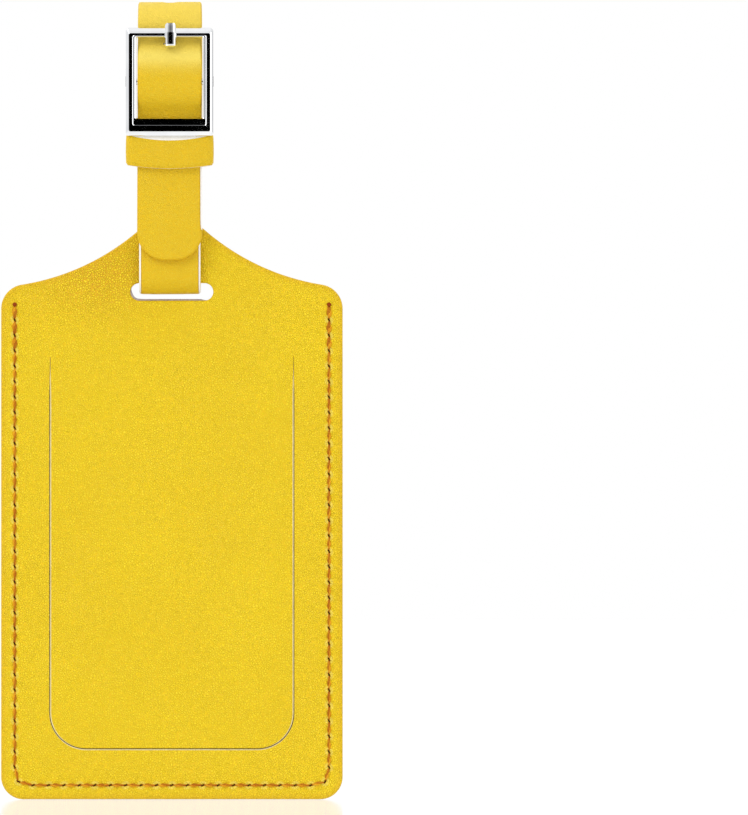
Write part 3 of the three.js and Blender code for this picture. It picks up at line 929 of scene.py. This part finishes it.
def flat_sheet(name, loop, spacing, gap, height, back, materials):
    """A plain sheet in the tag's plane, down to a flat back."""
    inner = grid_points([loop], spacing, gap)

    def walls(*_):
        yield 0, back, 0

    return slab(name, on_front, [loop], inner, height, walls, materials, far_inner=inner)


def flap_backing():
    """The cloth behind the flap."""
    def height(points):
        return np.full(len(points), -SKIN_BACK_Y)

    back = -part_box("flap_lining")[1][1]
    materials = [raw_edge, backing_cloth]
    return flat_sheet("flap_backing", flap_loop, 1.5 * MM, 0.8 * MM, height, back, materials)


def back_panel():
    """The back's leather, seen from behind, with its rolled edge and the strap's slot."""
    edge, slot = edge_loop[::-1] * [-1, 1], slot_loop[::-1] * [-1, 1]
    loops = [edge, slot]
    inner = panel_points(loops, (EDGE_INSETS, SLOT_INSETS), 1.1 * MM)

    def height(points):
        drop = rolled(distance_to(points, edge), EDGE_R) + rolled(distance_to(points, slot), SLOT_R)
        pull, _, _ = seam_relief(points)
        wave = 0.04 * MM * ripple(points, 18 * MM, 8) + 0.012 * MM * ripple(points, 5 * MM, 9)
        return BACK_Y - pull + wave - drop - 0.03 * MM

    def walls(*_):
        yield 0, BACK_Y - 0.52 * MM, 0
        yield 0, back_low[1], 1

    return slab(
        "back_leather", on_back, loops, inner, height, walls,
        [panel_leather, raw_edge, backing_cloth], marks_of=panel_marks,
    )


stand_in(front_panel(), "tag", "front_panel", "leather_panel")
stand_in(back_panel(), "tag", "back_panel", "leather_panel")

for made, node, slot_name in (
    (flap(), "privacy_flap", "leather_panel"),
    (flap_backing(), "flap_lining", "lining"),
):
    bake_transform(made)
    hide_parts(node)

stand_in(stitches("front_stitches", on_front, -FRONT_Y, 1), "tag", "needle_thread", "thread")
stand_in(stitches("back_stitches", on_back, BACK_Y, -1), "tag", "bobbin_thread", "thread")


# ---- the strap ----

BOARD_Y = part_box("stiffener_board")[0][1]
STRAP_HALF = 6.5 * MM
SKIN_OUT = 0.65 * MM
CORE_OUT = 0.25 * MM
TIP_WIDTH, TAIL_WIDTH, TAPER = 13.35 * MM, 12.5 * MM, 110 * MM
TIP_CORNER = 5.7 * MM
SWING_Y, SWING_Z, SWING_R = -0.1 * MM, 107.2 * MM, 3.05 * MM
BACK_LEAN = 20
BAR_Z = 147 * MM
WRAP_R, LAYER_PITCH = 1.45 * MM, 1.4 * MM
RISE_Z, RISE_NEAR, RISE_FAR, RISE_ANGLE = 139.2 * MM, 4.4 * MM, 5.8 * MM, 43.5
TIP_Z = 110.5 * MM
LOOP_FRONT_R, LOOP_BACK_R = 5.35 * MM, 15.79 * MM
BACK_RUN = 37.78 * MM
DROP_R, DROP_ANGLE, DROP_END_Z = 5.26 * MM, 43.2, 150.3 * MM
FOLD_END_Z, FOLD_R, FOLD_ANGLE = 127 * MM, 9.77 * MM, 20.95
HOLE_PITCH, SPARE_HOLES = 12.5 * MM, 3
PRONG_SHIFT = 0.6 * MM


def strap_moves():
    """The strap's straight runs and bends from its folded end to its tip, as (length, turn)."""
    def bend(degrees, r):
        return abs(math.radians(degrees)) * r, math.radians(degrees)

    rise = (RISE_NEAR + RISE_FAR) * math.sin(math.radians(RISE_ANGLE))
    back_of_rise = 2 * FOLD_R * math.sin(math.radians(FOLD_ANGLE))
    return [
        (RISE_Z - FOLD_END_Z, 0),
        bend(-FOLD_ANGLE, FOLD_R),
        bend(FOLD_ANGLE, FOLD_R),
        (BAR_Z - RISE_Z - back_of_rise, 0),
        bend(-180, WRAP_R),
        (BAR_Z - RISE_Z - rise, 0),
        bend(-RISE_ANGLE, RISE_NEAR),
        bend(RISE_ANGLE, RISE_FAR),
        (RISE_Z - SWING_Z, 0),
        bend(BACK_LEAN - 180, SWING_R),
        (BACK_RUN, 0),
        bend(-90 - BACK_LEAN, LOOP_BACK_R),
        bend(-90, LOOP_FRONT_R),
        bend(DROP_ANGLE, DROP_R),
        bend(-DROP_ANGLE, DROP_R),
        (DROP_END_Z - RISE_Z - rise, 0),
        bend(-RISE_ANGLE, RISE_FAR),
        bend(RISE_ANGLE, RISE_NEAR),
        (RISE_Z - TIP_Z, 0),
    ]


def strap_stretches():
    """Each stretch as (start, length, y, z, heading, turn), with headings from +z towards +y."""
    y, z, heading, start = SWING_Y - SWING_R + LAYER_PITCH, FOLD_END_Z, 0.0, 0.0
    found = []
    for length, turn in strap_moves():
        found.append((start, length, y, z, heading, turn))
        if turn:
            bend = turn / length
            y += (math.cos(heading) - math.cos(heading + turn)) / bend
            z += (math.sin(heading + turn) - math.sin(heading)) / bend
        else:
            y += length * math.sin(heading)
            z += length * math.cos(heading)
        heading += turn
        start += length
    return found


# Distances along the strap: its whole length, the middle of its turn round the centre bar, the
# start of its turn in the tag's slot, the end of the loop's top, and the prong's hole.
STRETCHES = strap_stretches()
STRAP_LENGTH = STRETCHES[-1][0] + STRETCHES[-1][1]
BAR_S = STRETCHES[4][0] + STRETCHES[4][1] / 2
SLOT_S, TOP_S, PRONG_S = (STRETCHES[i][0] for i in (9, 12, 14))


def strap_place(side):
    """From the strap laid flat, seen on its outer (1) or inner (-1) face, to the model."""
    def place(u, s, h):
        table = np.array(STRETCHES)
        which = np.clip(np.searchsorted(table[:, 0], s, side="right") - 1, 0, len(table) - 1)
        start, length, y0, z0, a0, turn = table[which].T
        bend = turn / length
        a = a0 + bend * (s - start)
        straight = bend == 0
        safe = np.where(straight, 1, bend)
        y = y0 + np.where(straight, (s - start) * np.sin(a0), (np.cos(a0) - np.cos(a)) / safe)
        z = z0 + np.where(straight, (s - start) * np.cos(a0), (np.sin(a) - np.sin(a0)) / safe)
        y += BOARD_Y + side * h * np.cos(a)
        z += TAG_Z - side * h * np.sin(a)
        return np.column_stack((STRAP_X - side * u, y, z))

    return place


def strap_half(s):
    """Half the strap's width: a slight taper, and the round tip."""
    from_tip = STRAP_LENGTH - np.asarray(s)
    full = (TIP_WIDTH + (TAIL_WIDTH - TIP_WIDTH) * np.clip(from_tip / TAPER, 0, 1)) / 2
    into = np.clip(TIP_CORNER - from_tip, 0, TIP_CORNER)
    return full - TIP_CORNER + np.sqrt(TIP_CORNER**2 - into**2)


def strap_loop(step):
    """The strap's edge laid flat, u to the left seen from its outer face."""
    straight = np.arange(0, STRAP_LENGTH - TIP_CORNER, step)
    turn = np.linspace(0, math.pi / 2, 22)
    s = np.concatenate((straight, STRAP_LENGTH - TIP_CORNER * (1 - np.sin(turn))))
    half = strap_half(s)
    left, right = np.column_stack((half, s)), np.column_stack((-half, s))
    top = line(half[-1], STRAP_LENGTH, -half[-1], STRAP_LENGTH, step)[1:]
    bottom = line(-half[0], 0, half[0], 0, step)[1:]
    return np.vstack((left, top, right[::-1], bottom))


def bevel_width(points):
    """How wide the skin's cut edge slopes: broad on the fixed run, and on the tip's right side."""
    u, s = points[:, 0], points[:, 1]
    tip_start = STRAP_LENGTH - TIP_CORNER
    fixed = hump(s, BAR_S + 1 * MM, BAR_S + 4 * MM, SLOT_S + 2 * MM, SLOT_S + 8 * MM)
    free = hump(s, PRONG_S + 18 * MM, PRONG_S + 24 * MM, tip_start - 2 * MM, tip_start + 1 * MM)
    return 0.07 * MM + 0.29 * MM * np.maximum(fixed, free * (u < 0))


def pale_edge(points):
    """Which of the strap's edge is raw and pale; the rest is dyed."""
    return (bevel_width(points) > 0.15 * MM).astype(int)


def round_hole(s, r, squeeze=1.0):
    """A punched hole, clockwise, centred on the strap and squeezed along it."""
    angles = np.linspace(2 * math.pi, 0, 30, endpoint=False)
    return np.column_stack((r * np.cos(angles), s + squeeze * r * np.sin(angles)))


def prong_slit():
    """The slot in the folded end where the prong passes, clockwise."""
    half, reach, step = 1.5 * MM, 4.1 * MM, 0.35 * MM
    low, high = BAR_S - reach + half, BAR_S + reach - half
    return np.vstack((
        arc(0, high, half, 180, 0, step),
        line(half, high, half, low, step),
        arc(0, low, half, 0, -180, step),
        line(-half, low, -half, high, step),
    ))


def strap_holes(mirror=False):
    """The holes in each layer. On the inner face the prong's own hole is drawn out longer by its use."""
    own = (1.5 * MM, 1.25) if mirror else (1.2 * MM, 0.75)
    holes = [prong_slit(), round_hole(PRONG_S - PRONG_SHIFT, *own)]
    holes += [round_hole(PRONG_S - (i + 1) * HOLE_PITCH, 1.3 * MM) for i in range(SPARE_HOLES)]
    return [hole[::-1] * [-1, 1] for hole in holes] if mirror else holes


def strap_grid(loops, across, along):
    """Points inside the strap's edge and outside its holes."""
    grid = staggered((-STRAP_HALF, along / 2), (STRAP_HALF, STRAP_LENGTH), across, along)
    return clear_of(grid, loops, 0.35 * MM)


def strap_marks(points, loops, side):
    """Painted shade along the rolled edges, tip and hole rims and behind the bottom bar; painted
    highlight over the loop's top and below the prong.
    """
    edge = np.exp(-distance_to(points, loops[0]) / (0.35 * MM))
    near_hole = np.min([distance_to(points, hole) for hole in loops[1:]], axis=0)
    s = points[:, 1]
    past = s - PRONG_S
    # Painted highlight over the loop's top, down to just past the prong's hole.
    loop_top_highlight = smooth(s, TOP_S - 6 * MM, TOP_S) * (1 - smooth(past, 1 * MM, 7 * MM))
    # Painted shade where the strap dips behind the buckle's bottom bar.
    under_bar_shade = hump(past, 9 * MM, 14 * MM, 16 * MM, 18 * MM)
    # Painted shade along the edges and round the holes, and under the bottom bar.
    rim_and_bar_shade = 0.3 * edge + 0.45 * np.exp(-near_hole / (0.3 * MM)) + 0.12 * under_bar_shade
    # Painted highlight where the strap bulges forward just below the prong.
    bulge_highlight = np.exp(-(((past - 2.5 * MM) / (1.6 * MM)) ** 2))
    pale = (0.5 * loop_top_highlight + 0.4 * bulge_highlight) * (side > 0)
    return {"stain": np.clip(rim_and_bar_shade, 0, 1), "pale": np.clip(pale, 0, 1)}


def strap_skin(name, side):
    """One leather face of the strap."""
    loop = strap_loop(0.55 * MM)
    loop -= outward(loop) * bevel_width(loop)[:, None]
    if side < 0:
        loop = loop[::-1] * [-1, 1]
    loops = [loop, *strap_holes(side < 0)]
    rings = [ring_points(hole, CUT_INSETS) for hole in loops[1:]]
    inner = np.vstack((ring_points(loop, [0.08 * MM, 0.2 * MM, 0.42 * MM]), *rings))
    inner = inner[inside(inner, loop)]
    grid = strap_grid(loops, 0.8 * MM, 0.6 * MM)
    inner = np.vstack((thinned(inner, loops, 0.12 * MM), grid[distance_to(grid, loop) > 0.6 * MM]))
    coarse = strap_grid(loops, 2.2 * MM, 0.9 * MM)

    def height(points):
        drop = rolled(distance_to(points, loop), 0.3 * MM)
        for hole in loops[1:]:
            drop += rolled(distance_to(points, hole), 0.25 * MM)
        wave = 0.025 * MM * ripple(points, 9 * MM, 11) + 0.012 * MM * ripple(points, 3 * MM, 12)
        crown = 0.03 * MM * (1 - (points[:, 0] / STRAP_HALF) ** 2)
        return SKIN_OUT - 0.05 * MM + wave + crown - 0.8 * drop

    def walls(k, edge):
        if k == 0:
            own = edge if side > 0 else edge * [-1, 1]
            raw = pale_edge(own) if side > 0 else 0
            yield 0.02 * MM, SKIN_OUT - 0.3 * MM + 0.18 * MM * raw, 0
            yield bevel_width(own), CORE_OUT, raw
        else:
            yield 0, SKIN_OUT - 0.32 * MM, 1
            yield 0, CORE_OUT, 1

    def marks(points):
        return strap_marks(points, loops, side)

    return slab(
        name, strap_place(side), loops, inner, height, walls,
        [strap_leather, core_fibre], far_inner=coarse, marks_of=marks,
    )


def strap_core():
    """The pale core, which shows along the strap's cut edges and in its holes."""
    loops = [strap_loop(0.7 * MM), *strap_holes()]
    coarse = strap_grid(loops, 2.2 * MM, 0.9 * MM)

    def height(points):
        return np.full(len(points), CORE_OUT)

    def walls(k, edge):
        dyed = 0
        if k == 0:
            dyed = 1 - pale_edge(edge)
            yield 0.03 * MM, 0.12 * MM, dyed
            yield 0.03 * MM, -0.12 * MM, dyed
        yield 0, -CORE_OUT, dyed

    return slab(
        "strap_middle", strap_place(1), loops, coarse, height, walls,
        [core_fibre, strap_leather, core_fibre], far_inner=coarse,
    )


for made, node, slot_name in (
    (strap_skin("strap_outer_leather", 1), "strap_outer_skin", "leather_strap"),
    (strap_skin("strap_inner_leather", -1), "strap_inner_skin", "leather_strap"),
    (strap_core(), "strap_core", "strap_core"),
):
    stand_in(made, "strap", node, slot_name)


# ---- the keeper ----

KEEPER_BOW = 0.8 * MM
KEEPER_HEIGHT = 6.3 * MM


def keeper():
    """A leather band with a slightly full outer face, rounded skin and raw, paler edges."""
    low, high = (np.array(corner[:2]) for corner in (keeper_low, keeper_high))
    wall, step = 1.25 * MM, 0.35 * MM
    path = rounded_box(low + wall / 2, high - wall / 2, 0.95 * MM, step, step / 3)
    bottom = keeper_low[2] + KEEPER_BOW
    half_x = (high[0] - low[0]) / 2
    out, soft, inset, rows = 0.62 * MM, 0.3 * MM, 0.45 * MM, 13
    rings = []
    for (x, y), (nx, ny) in zip(path, outward(path)):
        middle = 1 - ((x - STRAP_X) / half_x) ** 2
        sag = KEEPER_BOW * middle
        foot, head = bottom - sag, bottom - 0.45 * sag + KEEPER_HEIGHT
        cut = head - (0.15 + 0.85 * middle) * MM
        section = []
        for t in np.linspace(0, 1, rows):
            fullness = 0.1 * MM * (1 - (2 * t - 1) ** 2)
            edge = min(t * KEEPER_HEIGHT, (1 - t) * KEEPER_HEIGHT + soft * 0.6)
            section.append((out - 0.1 * MM + fullness - rolled(edge, soft), foot + t * (cut - foot)))
        section += [(out - soft - 0.15 * MM, head), (0, head + 0.03 * MM), (-inset, head)]
        section += [(-out, head - 0.15 * MM), (-out, (foot + head) / 2), (-out, foot + 0.15 * MM)]
        section += [(-inset, foot), (0, foot - 0.03 * MM), (out - soft - 0.1 * MM, foot)]
        rings.append([(x + nx * o, y + ny * o, z) for o, z in section])
    verts, faces = skin_through(rings, True)
    slots = ([0] * (rows - 1) + [1] * 4 + [2] * 2 + [1] * 4) * len(rings)
    return finished("keeper_band", verts, faces, slots, [strap_leather, core_fibre, backing_cloth])


stand_in(keeper(), "keeper", "keeper_loop", "leather_strap")


# ---- the buckle ----

FRAME_DEPTH = 2.1 * MM
LUG_R = 1.3 * MM
PRONG_ASIDE = 0.2 * MM
BAR_Y = (bar_low[1] + bar_high[1]) / 2
BAR_AXIS_Z = (bar_low[2] + bar_high[2]) / 2
BAR_R = (bar_high[2] - bar_low[2]) / 2


def rounded_ring(half, bottom, top, r, y):
    """A rounded rectangle round the buckle, anticlockwise from the front, at one depth."""
    x, low, high = half - r, bottom + r, top - r
    points = []
    for cx, z, start in ((x, low, -90), (x, high, 0), (-x, high, 90), (-x, low, 180)):
        for angle in np.radians(np.linspace(start, start + 90, 10)):
            points.append((STRAP_X + cx + r * math.cos(angle), y, TAG_Z + z + r * math.sin(angle)))
    return points


def buckle_rings():
    """The frame's section, as rings from its back, over the rim and the flat, to the window.

    Each row says in millimetres how far in its side, bottom and top are and what its corner's
    radius is, and then its depth.
    """
    front = buckle_low[1]
    deep, back_lip, flat = front + FRAME_DEPTH, front + FRAME_DEPTH - 0.15 * MM, front + 0.05 * MM
    half = (buckle_high[0] - buckle_low[0]) / 2 - 0.1 * MM
    bottom, top = buckle_low[2] - TAG_Z, buckle_high[2] - TAG_Z - 0.1 * MM
    rows = (
        (0.15, 0.15, 0.15, 0.6, deep),
        (0, 0, 0, 0.75, back_lip),
        (0, 0, 0, 0.75, front + 0.95 * MM),
        (0.02, 0.03, 0.04, 0.73, front + 0.78 * MM),
        (0.09, 0.14, 0.14, 0.66, front + 0.55 * MM),
        (0.35, 0.5, 0.65, 0.5, front + 0.22 * MM),
        (0.61, 0.96, 1.14, 0.36, flat),
        (1.35, 2.185, 1.6, 0.3, flat),
        (1.47, 2.215, 1.64, 0.3, front + 0.09 * MM),
        (1.57, 2.245, 1.68, 0.3, flat),
        (1.79, 3.56, 1.76, 0.28, flat),
        (2.07, 3.62, 1.88, 0.24, front + 0.17 * MM),
        (2.13, 3.7, 2.0, 0.2, front + 0.3 * MM),
        (2.13, 3.7, 2.0, 0.2, back_lip),
        (2.0, 3.55, 1.85, 0.25, deep),
    )
    return [
        rounded_ring(half - side * MM, bottom + low * MM, top - high * MM, r * MM, y)
        for side, low, high, r, y in rows
    ]


def lug_rings(side):
    """An ear behind the frame's side bar that carries the centre bar's end.

    Each row says how far out it is and how much smaller than the ear, both in millimetres.
    """
    front = buckle_low[1] + 0.9 * MM
    angles = np.linspace(-math.pi / 2, math.pi / 2, 15)
    rings = []
    for x, shrink in ((6.9, 0.25), (7.05, 0.08), (7.25, 0), (8.65, 0), (8.85, 0.08), (8.98, 0.25)):
        r = LUG_R - shrink * MM
        round_part = [(BAR_Y + r * math.cos(a), r * math.sin(a)) for a in angles]
        rows = [(front, -r), *round_part, (front, r)]
        rings.append([(STRAP_X + side * x * MM, y, BAR_AXIS_Z + up) for y, up in rows])
    return rings


def rod_rings(half, r, lip):
    """A round bar along x with softened ends."""
    angles = np.linspace(0, 2 * math.pi, 28, endpoint=False)
    ends = ((-half, r - lip), (-half + lip, r), (half - lip, r), (half, r - lip))
    return [
        [(STRAP_X + x, BAR_Y + size * math.cos(a), BAR_AXIS_Z + size * math.sin(a)) for a in angles]
        for x, size in ends
    ]


def prong_curl():
    """The prong's eye round the centre bar."""
    half, outer, hole = 1.1 * MM, 1.7 * MM, BAR_R + 0.08 * MM
    shoulder, flank = (0.15 * MM - half, outer - 0.04 * MM), (-0.05 * MM - half, outer - 0.25 * MM)
    left = [(-0.5 * half, outer), shoulder, flank, (-half, hole)]
    right = [(-x, r) for x, r in left]
    section = [left[3], *right[::-1], *left[:3]]
    return [
        [(STRAP_X + x, BAR_Y + r * math.cos(a), BAR_AXIS_Z + r * math.sin(a)) for x, r in section]
        for a in np.linspace(0, 2 * math.pi, 32, endpoint=False)
    ]


def prong_track(end_z):
    """The middle of the prong's shaft as (y, z): straight, bent forward, sloping, then upright."""
    stem, bend_r, slope, tip_r = 3.0 * MM, 5 * MM, 2.0 * MM, 1.6 * MM
    root = math.sqrt(0.5)
    track = [(0.0, 0.0), (0.0, stem)]
    for a in np.linspace(0, math.pi / 4, 9)[1:]:
        track.append((-bend_r * (1 - math.cos(a)), stem + bend_r * math.sin(a)))
    y, z = track[-1]
    y, z = y - slope * root, z + slope * root
    track.append((y, z))
    for a in np.linspace(math.pi / 4, 0, 7)[1:]:
        track.append((y - tip_r * (math.cos(a) - root), z + tip_r * (root - math.sin(a))))
    track.append((track[-1][0], end_z))
    return np.array(track)


def prong_shaft():
    """The prong's shaft: up behind the strap, out through its hole and over the top bar."""
    start_z = BAR_AXIS_Z + 1.2 * MM
    end_z = prong_high[2] - start_z
    track_y, track_z = prong_track(end_z).T
    thick, lip = 0.52 * MM, 0.15 * MM
    flat_y = prong_low[1] - BAR_Y
    pad_z, tip_z = end_z - 5.0 * MM, end_z - 1.9 * MM
    shaft = np.linspace(0, pad_z - 0.5 * MM, 14)
    pad = np.linspace(pad_z - 0.4 * MM, end_z, 34)
    rings = []
    for up in np.concatenate((shaft, pad)):
        middle, next_middle = np.interp((up, up + 0.1 * MM), track_z, track_y)
        steep = (next_middle - middle) / (0.1 * MM)
        reach = thick * math.sqrt(1 + min(steep**2, 1))
        back_y, front_y = middle + reach, middle - reach
        heel = min(1.0, max(0.0, 1 - (up - pad_z) / (0.6 * MM)))
        round_off = math.sqrt(1 - heel**2)
        if up > pad_z - 0.1 * MM:
            front_y = min(front_y, flat_y + 1.6 * MM * (1 - round_off))
        lean = max(0.0, (up - tip_z) / (end_z - tip_z))
        front_y += 0.31 * MM * lean
        back_y -= lip * lean**3
        half = 0.8 * MM + 0.38 * MM * round_off - 0.08 * MM * min(1, 6 * lean) - 0.12 * MM * lean**6
        flank = min(0.5 * MM, (back_y - front_y) * 0.4)
        left = [(-half * 0.5, front_y), (-half * 0.82, front_y + flank * 0.35), (-half, front_y + flank)]
        left += [(-half, back_y - lip), (-half + lip, back_y)]
        right = [(-x, y) for x, y in left]
        section = [*left[3:], *right[::-1], *left[:3]]
        rings.append([(STRAP_X + PRONG_ASIDE + x, BAR_Y + y, start_z + up) for x, y in section])
    return rings


def metal_piece(name, ring_sets, sharp_deg=13):
    """One chrome piece from sets of rings; each set says whether its rings close on themselves."""
    verts, faces = [], []
    for rings, closed in ring_sets:
        more_verts, more_faces = skin_through(rings, closed)
        faces += [[i + len(verts) for i in face] for face in more_faces]
        verts += more_verts
    return finished(name, verts, faces, [0] * len(faces), [chrome], None, sharp_deg)


frame_sets = [(buckle_rings(), True), (lug_rings(-1), False), (lug_rings(1), False)]
bar_sets = [(rod_rings((bar_high[0] - bar_low[0]) / 2, BAR_R, 0.12 * MM), False)]
prong_sets = [(prong_curl(), True), (prong_shaft(), False)]
stand_in(metal_piece("buckle_frame_chrome", frame_sets), "strap", "buckle_frame", "chrome")
stand_in(metal_piece("centre_bar_chrome", bar_sets), "strap", "buckle_centre_bar", "chrome")
stand_in(metal_piece("prong_chrome", prong_sets, 28), "prong", "buckle_prong", "chrome")


# ---- the clear cover ----

SHEET_STEP = 2.5 * MM


def clear_sheet():
    """The clear cover, a hair off the card behind it so that the two do not share a face."""
    low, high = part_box("clear_cover")
    half = (high[0] - low[0]) / 2
    loop = rounded_box(
        (-half, low[2] - TAG_Z), (half, high[2] - TAG_Z), 2 * MM, SHEET_STEP, SHEET_STEP / 6,
    )

    def height(points):
        return -low[1] - 0.01 * MM - 0.01 * MM * ripple(points, 20 * MM, 15)

    back = -high[1] + 0.07 * MM
    look = clear_look("clear_vinyl")
    return flat_sheet("clear_sheet", loop, SHEET_STEP, 1 * MM, height, back, [look])


# ---- what stays as the CAD has it ----

def dress(node, look):
    """Gives a CAD node its material."""
    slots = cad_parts[node].data.materials
    slots.clear()
    slots.append(look)


dress("front_lining", backing_cloth)
dress("stiffener_board", board_fibre)
dress("address_card", card_look("address_card_paper"))
stand_in(clear_sheet(), "card", "clear_cover", "clear_film")


# ---- camera, floor and light ----

WHITE = (1, 1, 1, 1)


def camera():
    """A long lens, square to the front, at about the middle of the tag's height."""
    distance, view_width, sensor = 3000 * MM, 167 * MM, 36
    aside, up = 41.42 * MM, 80.3 * MM
    data = bpy.data.cameras.new("camera")
    data.sensor_width = sensor
    data.lens = sensor * distance / view_width
    data.clip_start, data.clip_end = 0.05, 20
    made = linked("camera", data)
    made.location = (TAG_X + aside, FRONT_Y - distance, TAG_Z + up)
    made.rotation_euler = (math.pi / 2, 0, 0)
    bpy.context.scene.camera = made


def floor():
    """Pale glossy floor that just touches the tag's lower edge."""
    look = Look("floor_gloss")
    look.tree.nodes.remove(look.shader)
    glow = look.add("Emission", Color=WHITE, Strength=1.19)
    gloss = look.add("BsdfGlossy", Color=WHITE, Roughness=0.12)
    surface = look.tree.nodes["Material Output"].inputs["Surface"]
    look.feed(surface, look.mixed_shader(0.42, glow, gloss))
    half, level = 2.5, TAG_Z - 0.05 * MM
    mesh = bpy.data.meshes.new("floor")
    signs = ((-1, -1), (1, -1), (1, 1), (-1, 1))
    mesh.from_pydata([(x * half, y * half, level) for x, y in signs], [], [(0, 1, 2, 3)])
    mesh.materials.append(look.material)
    linked("floor", mesh)


def sky():
    """White all round for the eye; as light, a bright tent with a dark opening in front."""
    world = bpy.data.worlds.new("tent")
    bpy.context.scene.world = world
    world.use_nodes = True
    sky = Nodes(world.node_tree, "Generated")
    x, y, z = sky.add("SeparateXYZ", Vector=sky.place).outputs
    opening = sky.ramp(sky.maths("MULTIPLY", y, -1.0), 0.80, 0.97)
    up = sky.ramp(z, -0.4, 0.9, 0.75, 1.15)
    left = sky.ramp(x, -1.0, 1.0, 1.1, 0.85)
    tent = sky.maths("MULTIPLY", sky.maths("MULTIPLY", up, left), sky.maths("SUBTRACT", 1.0, opening))
    lit = sky.tree.nodes["Background"]
    lit.inputs["Color"].default_value = WHITE
    sky.feed(lit.inputs["Strength"], tent)
    seen = sky.add("Background", Color=WHITE, Strength=1.0)
    by_eye = sky.add("LightPath").outputs["Is Camera Ray"]
    surface = sky.tree.nodes["World Output"].inputs["Surface"]
    sky.feed(surface, sky.mixed_shader(by_eye, lit, seen))


def soft_light(name, at, size, power):
    """A square area light turned towards the tag."""
    data = bpy.data.lights.new(name, "AREA")
    data.size = size
    data.energy = power
    made = linked(name, data)
    made.location = at
    aim = Vector((TAG_X, FRONT_Y, TAG_Z + 80 * MM)) - Vector(at)
    made.rotation_euler = aim.to_track_quat("-Z", "Y").to_euler()


camera()
floor()
sky()
soft_light("key", (-0.9, -1.0, 1.1), 0.7, 7)
soft_light("fill", (1.1, -0.9, 0.3), 0.9, 3)
bpy.context.scene.view_settings.view_transform = "Standard"
